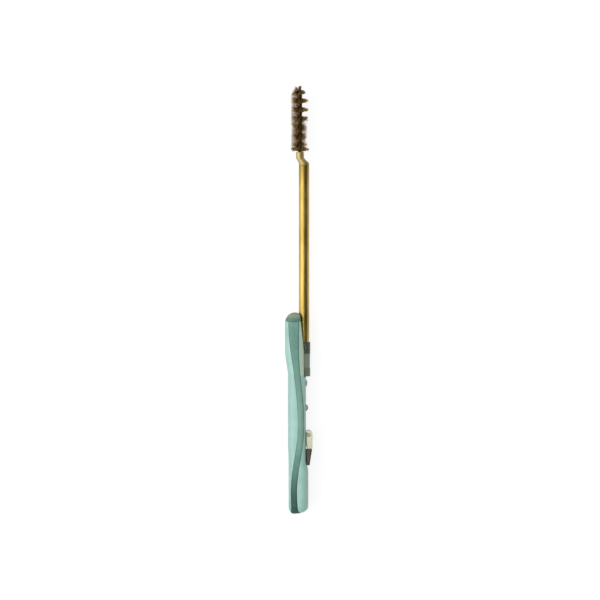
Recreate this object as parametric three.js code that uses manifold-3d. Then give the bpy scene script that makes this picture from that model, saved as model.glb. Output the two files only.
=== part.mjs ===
// A spiral wire brush on a brass rod that slides in the side groove of a two-part teal handle.
// Millimetres. +X runs along the tool to the brush, +Z up from the table that the tool lies on,
// and the thumb slide is on the -Y side. The origin is on the flat land under the back shell, half
// way along the handle and on the centre line of its waist.
import * as THREE from "three";
import { mergeVertices } from "three/addons/utils/BufferGeometryUtils.js";
import Module from "manifold-3d";

const wasm = await Module();
wasm.setup();

// ---- Driving dimensions ----

// Gaps: between pieces that are fixed to each other, and between pieces that move past each other.
const FIT_GAP = 0.15;
const RUN_GAP = 0.3;
const OVERLAP = 1; // how far a cut or a join runs past the face that it starts from
const SAME_POINT = 1e-4; // vertices of one surface that lie this near are one vertex

// Facets: how many sides a round piece has, and how finely the handle's form is divided.
const LARGE_SIDES = 32;
const SIDES = 20;
const SCREW_SIDES = 16;
const PIN_SIDES = 12;
const NECK_SIDES = 24;
const HEX_SIDES = 6;
const CORE_SIDES = 10;
const CORE_STEPS = 5; // along each row of the spiral
const STRAND_SIDES = 3;
const OUTER_DETAIL = { around: 24, along: 24, ends: 5 };
const INNER_DETAIL = { around: 16, along: 14, ends: 3 };

// Handle. A reach is the distance from the centre line to an edge, left is +Y and right is -Y.
const HANDLE_LENGTH = 135;
const HANDLE_THICKNESS = 17.5;
const LAND_DEPTH = 0.25; // how much of the rounded back is cut flat, so that the tool lies still
const SHELL_WALL = 2.4;
const SQUARENESS = 2.8; // exponent of the rounded-square section
const NOSE_ROUND = 7;
const TAIL_ROUND = 5;
const TAIL_LEAN = 0.5; // how much of the tail's rounding its right side takes over from its left
const NOSE_LEFT_REACH = 7.6;
const WAIST_LEFT_REACH = 5.6;
const TAIL_LEFT_REACH = 5.2;
const LIP_RIGHT_REACH = 5.6;
const WAIST_RIGHT_REACH = 6.5;
const TAIL_RIGHT_REACH = 8.1;
const EDGE_BLEND = 9; // length over which an edge passes from one reach to the next
const LIP_EDGE = 5; // the groove's lips stop at this distance right of the centre line
const LIP_NOSE_EDGE = 2.4; // and at this one at the nose
const LIP_SLANT = 26; // length over which they pass from one to the other
const NOSE_CAP_LENGTH = 6;
const TAIL_CAP_LENGTH = 4; // on the centre line
const TAIL_CUT_ANGLE = THREE.MathUtils.degToRad(40);
const NOSE_TONGUE = 5;
const TAIL_TONGUE = 2.4;

// Side groove, rod and shoe.
const ROD_OFFSET = 5.2; // from the centre line to the rod's axis, to the right
const ROD_RADIUS = 3.5;
const TUBE_WALL = 0.5;
const TUBE_LENGTH = 134.5;
const GROOVE_LENGTH = 43.2;
const GROOVE_WALL = 1.2; // between the groove and the hollow of the handle
const SHOE_LENGTH = 23;
const SHOE_TAIL = 6.4; // solid end behind the tube
const SHOE_WALL = 0.5;
const SHOE_WAIST_DEPTH = 0.2;
const SHOE_COLLAR = 7.5;
const SHOE_TAIL_COLLAR = 5.4;
const KEEL_LENGTH = 9.5;
const KEEL_HALF = 1.2;
const FLANGE_THICKNESS = 1.1;
const FLANGE_HALF = 3;
const PLUG_LENGTH = 14;
const SHOE_PIN_RADIUS = 1.1;
const SHOE_PIN_SETBACK = 3.8; // behind the shoe's front face
const TRAVEL = 12;

// Link between the shoe and the thumb block.
const LINK_THICKNESS = 1.2;
const LINK_WIDTH = 1.8;
const LINK_EYE_RADIUS = 1.5;
const LINK_PIN_RADIUS = 0.8;
const LINK_PIN_LENGTH = 5.4;
const LINK_FRONT_OFFSET = 2.9;
const LINK_REAR_OFFSET = 1;
const LINK_REAR_WALL = 1; // of the block ahead of the link's rear eye

// Thumb slide. A reach is a distance from the centre line, to the right.
const THUMB_SETBACK = 35.7; // from the groove's back end to the cap's front face
const CAP_LENGTH = 12.4;
const CAP_REACH = 10.8;
const CAP_BEVEL = 0.9;
const CAP_WALL = 1.5; // of the cap round the tenon that it stands on
const PAD_LENGTH = 10.7;
const PAD_FRONT_REACH = 10.7;
const PAD_REAR_REACH = 9;
const PAD_THICKNESS = 0.75;
const PAD_RIDGES = 5;
const RIDGE_HEIGHT = 0.25;
const RIDGE_VALLEY_SHARE = 0.3; // of the distance from one ridge to the next
const RIDGE_SLOPE_SHARE = 0.15;
const HEAD_HALF = 4.2;
const STEM_HALF = 1.4;
const BLOCK_RIGHT = 3.4;
const BLOCK_LEFT = 1.8;
const BLOCK_HALF = 3.6;
const CAP_SCREW_RADIUS = 0.6;
const CAP_SCREW_HEAD_RADIUS = 1.1;
const CAP_SCREW_HEAD_HEIGHT = 0.7;
const CAP_SCREW_RECESS_RADIUS = 0.5;
const CAP_SCREW_DEPTH = 3; // how far its tip lies past the rod's height
const CAP_SCREW_SETBACK = 3; // behind the cap's front face
const SPRING_LENGTH = 15;
const SPRING_WIDTH = 2.4;
const SPRING_THICKNESS = 0.35;
const SPRING_LIFT = 0.9; // from the lowest line of the hollow up to the spring's bow
const NOTCH_RADIUS = 1.6;
const NOTCH_DEPTH = 0.5;
const RAIL_WIDTH = 0.9;
const BUMPER_LENGTH = 3;
const BUMPER_HALF = 2.8;
const BULKHEAD = 1.6;

// Finger ribs on the right edge: distance of each middle behind the groove, half length and reach.
const FRONT_RIB = { behind: 4.2, half: 3.4, reach: 7.4 };
const REAR_RIB = { behind: 20.7, half: 2.4, reach: 8 };
const RIB_HALF_HEIGHT = 5;

// Soft inlay: an S-shaped band on the handle's face, and a shorter one on its back.
const INLAY_DEPTH = 1.1;
const BAND_HALF_WIDTH = 2.1;
const BAND_NOSE_EXTRA = 1.5; // the face's band grows this much wider each side towards the nose
const BAND_MEAN = -0.8;
const BAND_SWING = 2.4;
const BAND_TURN = -8; // where the band comes nearest to the right edge
const BAND_RUN_FORWARD = 65;
const BAND_RUN_BACK = 45;
const BACK_BAND_FRONT = 36;
const BACK_BAND_RISE = 0.3; // the back's band stays this far off the table

// Shell screws, driven from the back.
const SCREW_RADIUS = 1.1;
const SCREW_HEAD_RADIUS = 1.9;
const SCREW_HEAD_HEIGHT = 1.6;
const SCREW_SINK = 1.6; // the head's outer face lies this deep
const SCREW_BITE = 4.5; // past the parting plane
const SCREW_RECESS_RADIUS = 0.9;
const BOSS_WALL = 1.1;
const SECOND_SCREW_SETBACK = 10.8; // behind the groove's back end
const LAST_SCREW_LEAD = 9.6; // ahead of the tail's cut

// Neck and brush.
const BRUSH_OFFSET = 2.5; // from the centre line to the brush's axis, to the right
const NECK_LENGTH = 9;
const NECK_TOP_RADIUS = 2.7;
const NECK_RIM = 1; // the straight rim that covers the tube's end
const NECK_SPIGOT = 9;
const NECK_SOCKET = 3.4;
const BRISTLE_LENGTH = 43.4; // the stretch of core that carries bristles
const BRUSH_RADIUS = 6.35;
const BRUSH_TIP_SHARE = 0.62; // radius of the brush at its very tip, as a share of the full one
const BRUSH_TIP_TAPER = 6;
const BRUSH_BACK_SHARE = 0.9;
const BRUSH_BACK_TAPER = 2.2;
const ROW_PITCH = 6; // from one row of the spiral to the next: half a turn of the twisted wires
const ROW_SHIFT = 1.1; // moves the rows towards the tip
const WIRE_RADIUS = 0.8;
const WIRE_OFFSET = 0.7; // from the core's axis to each wire's centre
const SECTION_COUNT = 4;
const STRANDS_PER_SIDE = 38; // in each section, on each side of the core
const STRAND_ROOT = 0.12;
const STRAND_TIP = 0.1;
const STRAND_SEAT = 0.15; // from the core's axis to a strand's root
const STRAND_LEAN = 0.35; // how far a tip stands ahead of or behind its root

// ---- Places that follow from them ----

const noseX = HANDLE_LENGTH / 2;
const tailX = -noseX;
const formHalfHeight = (HANDLE_THICKNESS + LAND_DEPTH) / 2;
const axisZ = formHalfHeight - LAND_DEPTH;
const shellFrontX = noseX - NOSE_CAP_LENGTH;
const tailCutX = tailX + TAIL_CAP_LENGTH;
const hollowHalf = formHalfHeight - SHELL_WALL;

const tubeBore = ROD_RADIUS - TUBE_WALL;
const shoeBore = ROD_RADIUS + FIT_GAP;
const shoeRadius = shoeBore + SHOE_WALL;
const grooveRadius = shoeRadius + RUN_GAP;
const grooveBackX = noseX - GROOVE_LENGTH;
const grooveBottomY = grooveRadius - ROD_OFFSET;
const hollowRightY = grooveBottomY + GROOVE_WALL;
const flangeRightY = hollowRightY + RUN_GAP;
const flangeLeftY = flangeRightY + FLANGE_THICKNESS;
const shoeBackX = grooveBackX + RUN_GAP;
const shoeFrontX = shoeBackX + SHOE_LENGTH;
const tubeBackX = shoeBackX + SHOE_TAIL + FIT_GAP;
const tubeFrontX = tubeBackX + TUBE_LENGTH;
const keelBackX = shoeBackX + SHOE_TAIL;
const keelFrontX = keelBackX + KEEL_LENGTH;
const shoePinX = shoeFrontX - SHOE_PIN_SETBACK;

const capFrontX = grooveBackX - THUMB_SETBACK;
const capBackX = capFrontX - CAP_LENGTH;
const padFrontX = capBackX - RUN_GAP;
const padBackX = padFrontX - PAD_LENGTH;
const blockFrontX = capFrontX + RUN_GAP;
const blockBackX = padBackX - RUN_GAP;
const slotHalf = STEM_HALF + RUN_GAP;
const linkFront = new THREE.Vector2(shoeBackX + SHOE_TAIL / 2, -LINK_FRONT_OFFSET);
const linkRear = new THREE.Vector2(blockFrontX - LINK_EYE_RADIUS - LINK_REAR_WALL, -LINK_REAR_OFFSET);
const linkSlotHalf = LINK_THICKNESS / 2 + RUN_GAP;
const capScrewX = capFrontX - CAP_SCREW_SETBACK;
const headReach = WAIST_RIGHT_REACH + RUN_GAP; // the cap's and the ramp's inner face
const capScrewInner = headReach + CAP_SCREW_HEAD_RADIUS;
const capScrewOuter = CAP_REACH - CAP_WALL - CAP_SCREW_RADIUS;
const capScrewY = -(capScrewInner + capScrewOuter) / 2; // leaves as much wall on either side
const springX = (capBackX + padBackX) / 2;
const springY = (TAIL_LEFT_REACH - WAIST_RIGHT_REACH) / 2; // the middle of the hollow there
const bumperFrontX = blockBackX - RUN_GAP;
const bumperBackX = bumperFrontX - BUMPER_LENGTH;
const bulkheadX = bumperBackX - BULKHEAD;

const neckBackX = tubeFrontX + FIT_GAP;
const neckFrontX = neckBackX + NECK_LENGTH;
const bristlesBackX = neckFrontX + RUN_GAP;
const bristlesFrontX = bristlesBackX + BRISTLE_LENGTH;

const bossRadius = SCREW_RADIUS + FIT_GAP + BOSS_WALL;
const footRadius = SCREW_HEAD_RADIUS + FIT_GAP + BOSS_WALL;
const screwPlaces = [
  [keelFrontX + BOSS_WALL, flangeLeftY + RUN_GAP + bossRadius],
  [grooveBackX - SECOND_SCREW_SETBACK, bossRadius],
  [bulkheadX - footRadius - BOSS_WALL, -WAIST_RIGHT_REACH / 2],
  [tailCutX + LAST_SCREW_LEAD, -WAIST_RIGHT_REACH / 2],
];

// ---- Solids: closed meshes that can be joined and cut ----

function solid(geometry) {
  const bare = geometry.index ? geometry.toNonIndexed() : geometry.clone();
  bare.deleteAttribute("normal");
  bare.deleteAttribute("uv");
  const merged = mergeVertices(bare, SAME_POINT);
  const vertProperties = merged.attributes.position.array;
  const triVerts = new Uint32Array(merged.index.array);
  return new wasm.Manifold(new wasm.Mesh({ numProp: 3, vertProperties, triVerts }));
}

function join(pieces) {
  return pieces.reduce((whole, piece) => whole.add(piece));
}

// A block between two corners.
function block([x0, y0, z0], [x1, y1, z1]) {
  const geometry = new THREE.BoxGeometry(x1 - x0, y1 - y0, z1 - z0);
  return solid(geometry.translate((x0 + x1) / 2, (y0 + y1) / 2, (z0 + z1) / 2));
}

// A round bar along one axis, from one end to the other.
function bar(axis, radius, from, to, [a, b], sides = SIDES) {
  const geometry = new THREE.CylinderGeometry(radius, radius, to - from, sides);
  const middle = (from + to) / 2;
  if (axis === "x") return solid(geometry.rotateZ(Math.PI / 2).translate(middle, a, b));
  if (axis === "y") return solid(geometry.translate(a, middle, b));
  return solid(geometry.rotateX(Math.PI / 2).translate(a, b, middle));
}

// A turned piece about the X axis; the profile is a list of [x, radius].
function turned(profile, sides) {
  const points = profile.map(([x, radius]) => new THREE.Vector2(radius, x));
  return new THREE.LatheGeometry(points, sides).rotateZ(-Math.PI / 2);
}

// An outline in the XY plane, extruded from one height to another.
function plate(points, z0, z1) {
  const shape = new THREE.Shape(points.map(([x, y]) => new THREE.Vector2(x, y)));
  const geometry = new THREE.ExtrudeGeometry(shape, { depth: z1 - z0, bevelEnabled: false });
  return solid(geometry.translate(0, 0, z0));
}

function mesh(name, piece, material) {
  const { numProp, numVert, vertProperties, triVerts } = piece.getMesh();
  const positions = new Float32Array(numVert * 3);
  for (let i = 0; i < numVert; i++) {
    positions.set(vertProperties.subarray(i * numProp, i * numProp + 3), i * 3);
  }
  const geometry = new THREE.BufferGeometry();
  geometry.setAttribute("position", new THREE.BufferAttribute(positions, 3));
  geometry.setIndex(new THREE.BufferAttribute(triVerts, 1));
  const made = new THREE.Mesh(geometry.toNonIndexed(), material);
  made.geometry.computeVertexNormals();
  made.name = name;
  return made;
}

// ---- Materials ----

function finish(color, roughness, metalness = 0) {
  return new THREE.MeshStandardMaterial({ color, roughness, metalness });
}

const hardTeal = () => finish(0x9cc8be, 0.35);
const softTeal = () => finish(0x6a9387, 0.7);
const noseRubber = () => finish(0x73867a, 0.7);
const tailRubber = () => finish(0x2f504a, 0.7);
const darkPlastic = () => finish(0x4a4f40, 0.5);
const darkRubber = () => finish(0x3d4138, 0.85);
const creamPlastic = () => finish(0xcacaaa, 0.4);
const brass = () => finish(0xc4a548, 0.32, 1);
const steel = () => finish(0x9c9c98, 0.35, 1);
const bristleWire = () => finish(0x5a4b32, 0.5, 0.6);

// ---- Handle ----

// Distance from the centre line to the left and right edge at x.
function leftReach(x) {
  const toNose = THREE.MathUtils.smoothstep(x, grooveBackX, grooveBackX + 2 * EDGE_BLEND);
  const toTail = THREE.MathUtils.smoothstep(-x, -capBackX - EDGE_BLEND / 2, EDGE_BLEND - capBackX);
  return (
    WAIST_LEFT_REACH +
    (NOSE_LEFT_REACH - WAIST_LEFT_REACH) * toNose +
    (TAIL_LEFT_REACH - WAIST_LEFT_REACH) * toTail
  );
}

function rightReach(x) {
  const toNose = THREE.MathUtils.smoothstep(x, grooveBackX, grooveBackX + EDGE_BLEND);
  const half = EDGE_BLEND / 2;
  const toTail = THREE.MathUtils.smoothstep(-x, -blockBackX - half, half - blockBackX);
  return (
    WAIST_RIGHT_REACH +
    (LIP_RIGHT_REACH - WAIST_RIGHT_REACH) * toNose +
    (TAIL_RIGHT_REACH - WAIST_RIGHT_REACH) * toTail
  );
}

// The handle's outer form drawn in by `inset` all over: a capsule along X whose section at each
// place is a rounded square that fills the height and reaches from the left edge to the right one.
// The rounding at the tail is drawn towards the left edge.
function handleForm(inset, { around, along, ends } = OUTER_DETAIL) {
  const straight = 2;
  const geometry = new THREE.CapsuleGeometry(1, straight, ends, around, along);
  const place = geometry.attributes.position;
  const backX = tailX + TAIL_ROUND;
  const frontX = noseX - NOSE_ROUND;
  for (let i = 0; i < place.count; i++) {
    const height = place.getY(i);
    const share = Math.hypot(place.getX(i), place.getZ(i));
    const angle = Math.atan2(place.getZ(i), -place.getX(i));
    const past = Math.abs(height) - straight / 2;
    let x = THREE.MathUtils.mapLinear(height, -straight / 2, straight / 2, backX, frontX);
    if (past > 0 && height > 0) x = frontX + past * (NOSE_ROUND - inset);
    if (past > 0 && height < 0) x = backX - past * (TAIL_ROUND - inset);
    const middle = (leftReach(x) - rightReach(x)) / 2;
    const half = (leftReach(x) + rightReach(x)) / 2 - inset;
    const lean = height < 0 ? TAIL_LEAN * (1 - share) : 0;
    const across = Math.sign(Math.cos(angle)) * Math.abs(Math.cos(angle)) ** (2 / SQUARENESS);
    const up = Math.sign(Math.sin(angle)) * Math.abs(Math.sin(angle)) ** (2 / SQUARENESS);
    const y = middle + half * (lean + share * across);
    place.setXYZ(i, x, y, axisZ + share * up * (formHalfHeight - inset));
  }
  return solid(geometry);
}

const FAR = 2 * HANDLE_LENGTH; // half-size of the blocks that stand for half of space

function above(z) {
  return block([-FAR, -FAR, z], [FAR, FAR, z + FAR]);
}

function below(z) {
  return block([-FAR, -FAR, z - FAR], [FAR, FAR, z]);
}

// All that lies on the tail's side of the oblique cut, moved `shift` towards the nose.
function tailSide(shift) {
  const geometry = new THREE.BoxGeometry(2 * FAR, FAR, 2 * FAR).translate(0, FAR / 2, 0);
  return solid(geometry.translate(0, -shift, 0).rotateZ(TAIL_CUT_ANGLE).translate(tailCutX, 0, 0));
}

function aheadOf(x) {
  return block([x, -FAR, -FAR], [FAR, FAR, FAR]);
}

// The open channel that the rod and the shoe lie in, and the cut that ends its lips.
function groove() {
  const channel = bar("x", grooveRadius, grooveBackX, FAR, [-ROD_OFFSET, axisZ], LARGE_SIDES);
  const mouth = [
    [grooveBackX, -FAR],
    [FAR, -FAR],
    [FAR, -LIP_NOSE_EDGE],
    [noseX, -LIP_NOSE_EDGE],
    [noseX - LIP_SLANT, -LIP_EDGE],
    [grooveBackX, -LIP_EDGE],
  ];
  return channel.add(plate(mouth, -FAR, FAR));
}

// What a screw takes out of the shells: the head's recess and the shank's hole.
function screwHole([x, y]) {
  const headTop = SCREW_SINK + SCREW_HEAD_HEIGHT + FIT_GAP;
  const tip = axisZ + SCREW_BITE + FIT_GAP;
  return bar("z", SCREW_HEAD_RADIUS + FIT_GAP, -OVERLAP, headTop, [x, y], SCREW_SIDES).add(
    bar("z", SCREW_RADIUS + FIT_GAP, headTop - FIT_GAP, tip, [x, y], SCREW_SIDES),
  );
}

// The posts round the screws, each wider at its foot where the head lies, `grow` larger all round.
function screwPosts(grow) {
  const footTop = SCREW_SINK + SCREW_HEAD_HEIGHT + FIT_GAP + BOSS_WALL + grow;
  const posts = screwPlaces.map((place) =>
    bar("z", bossRadius + grow, 0, HANDLE_THICKNESS, place, SCREW_SIDES).add(
      bar("z", footRadius + grow, 0, footTop, place, SCREW_SIDES),
    ),
  );
  return join(posts);
}

// Two low rails on the floor and two under the roof, which the thumb block slides between.
function rails() {
  const from = bumperBackX;
  const to = blockFrontX + TRAVEL + RUN_GAP;
  const inner = SPRING_WIDTH / 2 + RUN_GAP;
  const pieces = [];
  for (const side of [-1, 1]) {
    const near = springY + Math.min(side * inner, side * (inner + RAIL_WIDTH));
    const clear = BLOCK_HALF + RUN_GAP;
    pieces.push(block([from, near, 0], [to, near + RAIL_WIDTH, axisZ - clear]));
    pieces.push(block([from, near, axisZ + clear], [to, near + RAIL_WIDTH, HANDLE_THICKNESS]));
  }
  return join(pieces);
}

// The hollow of the handle, less the posts, rails and walls that stand in it.
function hollow() {
  const grooveSide = block([grooveBackX, -FAR, -FAR], [FAR, hollowRightY, FAR]);
  const bulkhead = aheadOf(bulkheadX).subtract(aheadOf(bumperBackX - FIT_GAP));
  return handleForm(SHELL_WALL, INNER_DETAIL)
    .subtract(grooveSide)
    .subtract(bulkhead)
    .subtract(rails())
    .subtract(screwPosts(0));
}

// The slot in the right wall that the thumb slide's stems move in, and the one that the keel uses.
function slots() {
  const stems = block(
    [blockBackX, -FAR, axisZ - slotHalf],
    [capFrontX - CAP_WALL + TRAVEL + RUN_GAP, -BLOCK_RIGHT, axisZ + slotHalf],
  );
  const keelHalf = KEEL_HALF + RUN_GAP;
  const keel = block(
    [grooveBackX, grooveBottomY - OVERLAP, axisZ - keelHalf],
    [keelFrontX + TRAVEL + RUN_GAP, hollowRightY + OVERLAP, axisZ + keelHalf],
  );
  return stems.add(keel);
}

// Two shallow notches in the floor that the spring clicks into, one for each end of the travel.
function notches() {
  const depth = axisZ - hollowHalf + NOTCH_RADIUS - NOTCH_DEPTH;
  const [right, left] = [springY - SPRING_WIDTH / 2, springY + SPRING_WIDTH / 2];
  return bar("y", NOTCH_RADIUS, right, left, [springX, depth], SCREW_SIDES).add(
    bar("y", NOTCH_RADIUS, right, left, [springX + TRAVEL, depth], SCREW_SIDES),
  );
}

// A finger rib: a lens that stands out of the right edge.
function rib({ behind, half, reach }) {
  const root = WAIST_RIGHT_REACH - SHELL_WALL / 2;
  const rise = reach - root;
  const radius = (half * half + rise * rise) / (2 * rise);
  const centre = [grooveBackX - behind, -(reach - radius)];
  const lens = bar("z", radius, axisZ - RIB_HALF_HEIGHT, axisZ + RIB_HALF_HEIGHT, centre, LARGE_SIDES);
  return lens.intersect(block([-FAR, -FAR, -FAR], [FAR, -root, FAR]));
}

function bandCentre(x) {
  const run = x > BAND_TURN ? BAND_RUN_FORWARD : BAND_RUN_BACK;
  return BAND_MEAN - BAND_SWING * Math.cos((Math.PI * (x - BAND_TURN)) / run);
}

// The S-shaped band from above, `grow` wider each side, from its back end to its front end.
function bandOutline(fromX, toX, grow, noseExtra) {
  const steps = 22;
  const right = [];
  const left = [];
  for (let i = 0; i <= steps; i++) {
    const x = THREE.MathUtils.lerp(fromX - grow, toX + grow, i / steps);
    const widen = noseExtra * THREE.MathUtils.smoothstep(x, grooveBackX, shellFrontX);
    const half = BAND_HALF_WIDTH + widen + grow;
    right.push([x, bandCentre(x) - half]);
    left.unshift([x, bandCentre(x) + half]);
  }
  return [...right, ...left];
}

function frontBand(grow) {
  return plate(bandOutline(tailX, shellFrontX, grow, BAND_NOSE_EXTRA), axisZ + KEEL_HALF, FAR);
}

function backBand(grow) {
  return plate(bandOutline(tailX, BACK_BAND_FRONT, grow, 0), -FAR, axisZ - KEEL_HALF);
}

// What the two shells share: the outer form between the caps, hollowed and cut.
function shells() {
  const pocket = frontBand(0).add(backBand(0)).subtract(handleForm(INLAY_DEPTH + FIT_GAP));
  return handleForm(0)
    .add(rib(FRONT_RIB))
    .add(rib(REAR_RIB))
    .subtract(below(0))
    .subtract(aheadOf(shellFrontX - FIT_GAP))
    .subtract(tailSide(FIT_GAP))
    .subtract(hollow())
    .subtract(groove())
    .subtract(slots())
    .subtract(notches())
    .subtract(pocket)
    .subtract(join(screwPlaces.map(screwHole)));
}

// A layer as deep as the inlay, over the stretch that the shells cover.
function inlayLayer() {
  return handleForm(0)
    .subtract(handleForm(INLAY_DEPTH))
    .subtract(aheadOf(shellFrontX - FIT_GAP))
    .subtract(tailSide(FIT_GAP));
}

function noseCap() {
  const outer = handleForm(0).intersect(aheadOf(shellFrontX)).subtract(groove());
  const tongue = handleForm(SHELL_WALL + FIT_GAP, INNER_DETAIL).intersect(
    block([shellFrontX - NOSE_TONGUE, hollowRightY + FIT_GAP, 0], [shellFrontX + OVERLAP, FAR, FAR]),
  );
  return outer.add(tongue).subtract(below(0));
}

function tailCap() {
  const outer = handleForm(0).intersect(tailSide(0));
  const tongue = handleForm(SHELL_WALL + FIT_GAP, INNER_DETAIL)
    .intersect(tailSide(TAIL_TONGUE))
    .subtract(tailSide(-OVERLAP))
    .subtract(aheadOf(bulkheadX - FIT_GAP))
    .subtract(screwPosts(FIT_GAP));
  return outer.add(tongue).subtract(below(0));
}

// A pan-head screw with its axis on Z and its head's outer face at zero.
function shellScrew() {
  const length = axisZ + SCREW_BITE - SCREW_SINK;
  const chamfer = SCREW_RADIUS / 2;
  const profile = [
    [0, 0],
    [0, SCREW_HEAD_RADIUS - FIT_GAP],
    [FIT_GAP, SCREW_HEAD_RADIUS],
    [SCREW_HEAD_HEIGHT, SCREW_HEAD_RADIUS],
    [SCREW_HEAD_HEIGHT, SCREW_RADIUS],
    [length - chamfer, SCREW_RADIUS],
    [length, SCREW_RADIUS - chamfer],
    [length, 0],
  ];
  const recess = SCREW_HEAD_HEIGHT / 2;
  return solid(turned(profile, SCREW_SIDES).rotateY(-Math.PI / 2)).subtract(
    bar("z", SCREW_RECESS_RADIUS, -OVERLAP, recess, [0, 0], HEX_SIDES),
  );
}

function handle() {
  const group = new THREE.Group();
  const whole = shells();
  group.add(mesh("front_shell", whole.intersect(above(axisZ + FIT_GAP / 2)), hardTeal()));
  group.add(mesh("back_shell", whole.intersect(below(axisZ - FIT_GAP / 2)), hardTeal()));
  const layer = inlayLayer();
  group.add(mesh("front_grip_inlay", layer.intersect(frontBand(-FIT_GAP)), softTeal()));
  const backInlay = layer.intersect(backBand(-FIT_GAP)).subtract(below(BACK_BAND_RISE));
  group.add(mesh("back_grip_inlay", backInlay, softTeal()));
  group.add(mesh("nose_cap", noseCap(), noseRubber()));
  group.add(mesh("tail_cap", tailCap(), tailRubber()));
  const bumper = block(
    [bumperBackX, -BUMPER_HALF, axisZ - BUMPER_HALF],
    [bumperFrontX, BLOCK_LEFT, axisZ + BUMPER_HALF],
  );
  group.add(mesh("rear_bumper", bumper, darkRubber()));
  const screw = shellScrew();
  screwPlaces.forEach(([x, y], i) => {
    const placed = mesh("shell_screw_" + (i + 1), screw, steel());
    placed.position.set(x, y, SCREW_SINK);
    group.add(placed);
  });
  return group;
}

// ---- Rod: everything here is drawn about the rod's own axis, in a group that lies on it ----

function rodTube() {
  return solid(
    turned(
      [
        [tubeBackX, tubeBore],
        [tubeFrontX, tubeBore],
        [tubeFrontX, ROD_RADIUS],
        [tubeBackX, ROD_RADIUS],
        [tubeBackX, tubeBore],
      ].reverse(),
      LARGE_SIDES,
    ),
  ).subtract(shoePinHole());
}

function rodPlug() {
  const radius = tubeBore - FIT_GAP;
  return bar("x", radius, tubeBackX, tubeBackX + PLUG_LENGTH, [0, 0], LARGE_SIDES).subtract(shoePinHole());
}

function shoePinHole() {
  const radius = SHOE_PIN_RADIUS + FIT_GAP;
  return bar("z", radius, -2 * shoeRadius, 2 * shoeRadius, [shoePinX, 0], PIN_SIDES);
}

// The shoe: a sleeve with two collars, a solid tail with the link's slot, and a keel and flange
// that hold it in the groove.
function slideShoe() {
  const waist = shoeRadius - SHOE_WAIST_DEPTH;
  const ease = SHOE_WAIST_DEPTH * 2;
  const sleeve = turned(
    [
      [shoeBackX, 0],
      [shoeBackX, shoeRadius - ease],
      [shoeBackX + ease, shoeRadius],
      [shoeBackX + SHOE_TAIL_COLLAR - ease, shoeRadius],
      [shoeBackX + SHOE_TAIL_COLLAR, waist],
      [shoeFrontX - SHOE_COLLAR, waist],
      [shoeFrontX - SHOE_COLLAR + ease, shoeRadius],
      [shoeFrontX - ease / 2, shoeRadius],
      [shoeFrontX, shoeRadius - ease / 2],
      [shoeFrontX, shoeBore],
      [keelBackX, shoeBore],
      [keelBackX, 0],
    ],
    LARGE_SIDES,
  );
  const keelRoot = shoeBore + SHOE_WALL / 2;
  const keel = block(
    [keelBackX, keelRoot, -KEEL_HALF],
    [keelFrontX, flangeRightY + ROD_OFFSET + SHOE_WALL, KEEL_HALF],
  );
  const flange = block(
    [keelBackX, flangeRightY + ROD_OFFSET, -FLANGE_HALF],
    [keelFrontX, flangeLeftY + ROD_OFFSET, FLANGE_HALF],
  );
  const linkSlot = block(
    [shoeBackX - OVERLAP, -LINK_EYE_RADIUS + linkFront.y + ROD_OFFSET - RUN_GAP, -linkSlotHalf],
    [linkFront.x + LINK_EYE_RADIUS + RUN_GAP, 2 * shoeRadius, linkSlotHalf],
  );
  const pinRadius = LINK_PIN_RADIUS + FIT_GAP;
  const pinPlace = [linkFront.x, linkFront.y + ROD_OFFSET];
  return solid(sleeve)
    .add(keel)
    .add(flange)
    .subtract(linkSlot)
    .subtract(bar("z", pinRadius, -2 * shoeRadius, 2 * shoeRadius, pinPlace, PIN_SIDES))
    .subtract(shoePinHole());
}

// The neck: a turned brass piece, then sheared sideways so that its top lies on the brush's axis.
function crankedNeck() {
  const spigot = tubeBore - FIT_GAP;
  const bore = WIRE_RADIUS + WIRE_OFFSET + FIT_GAP;
  const rows = 6;
  const shoulder = [];
  for (let i = 0; i <= rows; i++) {
    const share = i / rows;
    const x = THREE.MathUtils.lerp(neckBackX + NECK_RIM, neckFrontX - NECK_SOCKET, share);
    const ease = THREE.MathUtils.smoothstep(share, 0, 1);
    shoulder.push([x, THREE.MathUtils.lerp(ROD_RADIUS, NECK_TOP_RADIUS, ease)]);
  }
  const geometry = turned(
    [
      [neckBackX - NECK_SPIGOT, 0],
      [neckBackX - NECK_SPIGOT, spigot],
      [neckBackX, spigot],
      [neckBackX, ROD_RADIUS],
      ...shoulder,
      [neckFrontX, NECK_TOP_RADIUS],
      [neckFrontX, bore],
      [neckFrontX - NECK_SOCKET, bore],
      [neckFrontX - NECK_SOCKET, 0],
    ],
    NECK_SIDES,
  );
  const place = geometry.attributes.position;
  for (let i = 0; i < place.count; i++) {
    const x = place.getX(i);
    const share = THREE.MathUtils.smoothstep(x, neckBackX + NECK_RIM, neckFrontX - NECK_SOCKET);
    place.setY(i, place.getY(i) + share * (ROD_OFFSET - BRUSH_OFFSET));
  }
  return solid(geometry);
}

function rod() {
  const group = new THREE.Group();
  group.position.set(0, -ROD_OFFSET, axisZ);
  group.add(mesh("rod_tube", rodTube(), brass()));
  group.add(mesh("rod_plug", rodPlug(), darkPlastic()));
  group.add(mesh("slide_shoe", slideShoe(), darkPlastic()));
  const pinHalf = shoeRadius - FIT_GAP;
  const pin = bar("z", SHOE_PIN_RADIUS, -pinHalf, pinHalf, [shoePinX, 0], PIN_SIDES);
  group.add(mesh("shoe_pin", pin, steel()));
  group.add(mesh("cranked_neck", crankedNeck(), brass()));
  return group;
}

// ---- Link and thumb slide ----

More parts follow.
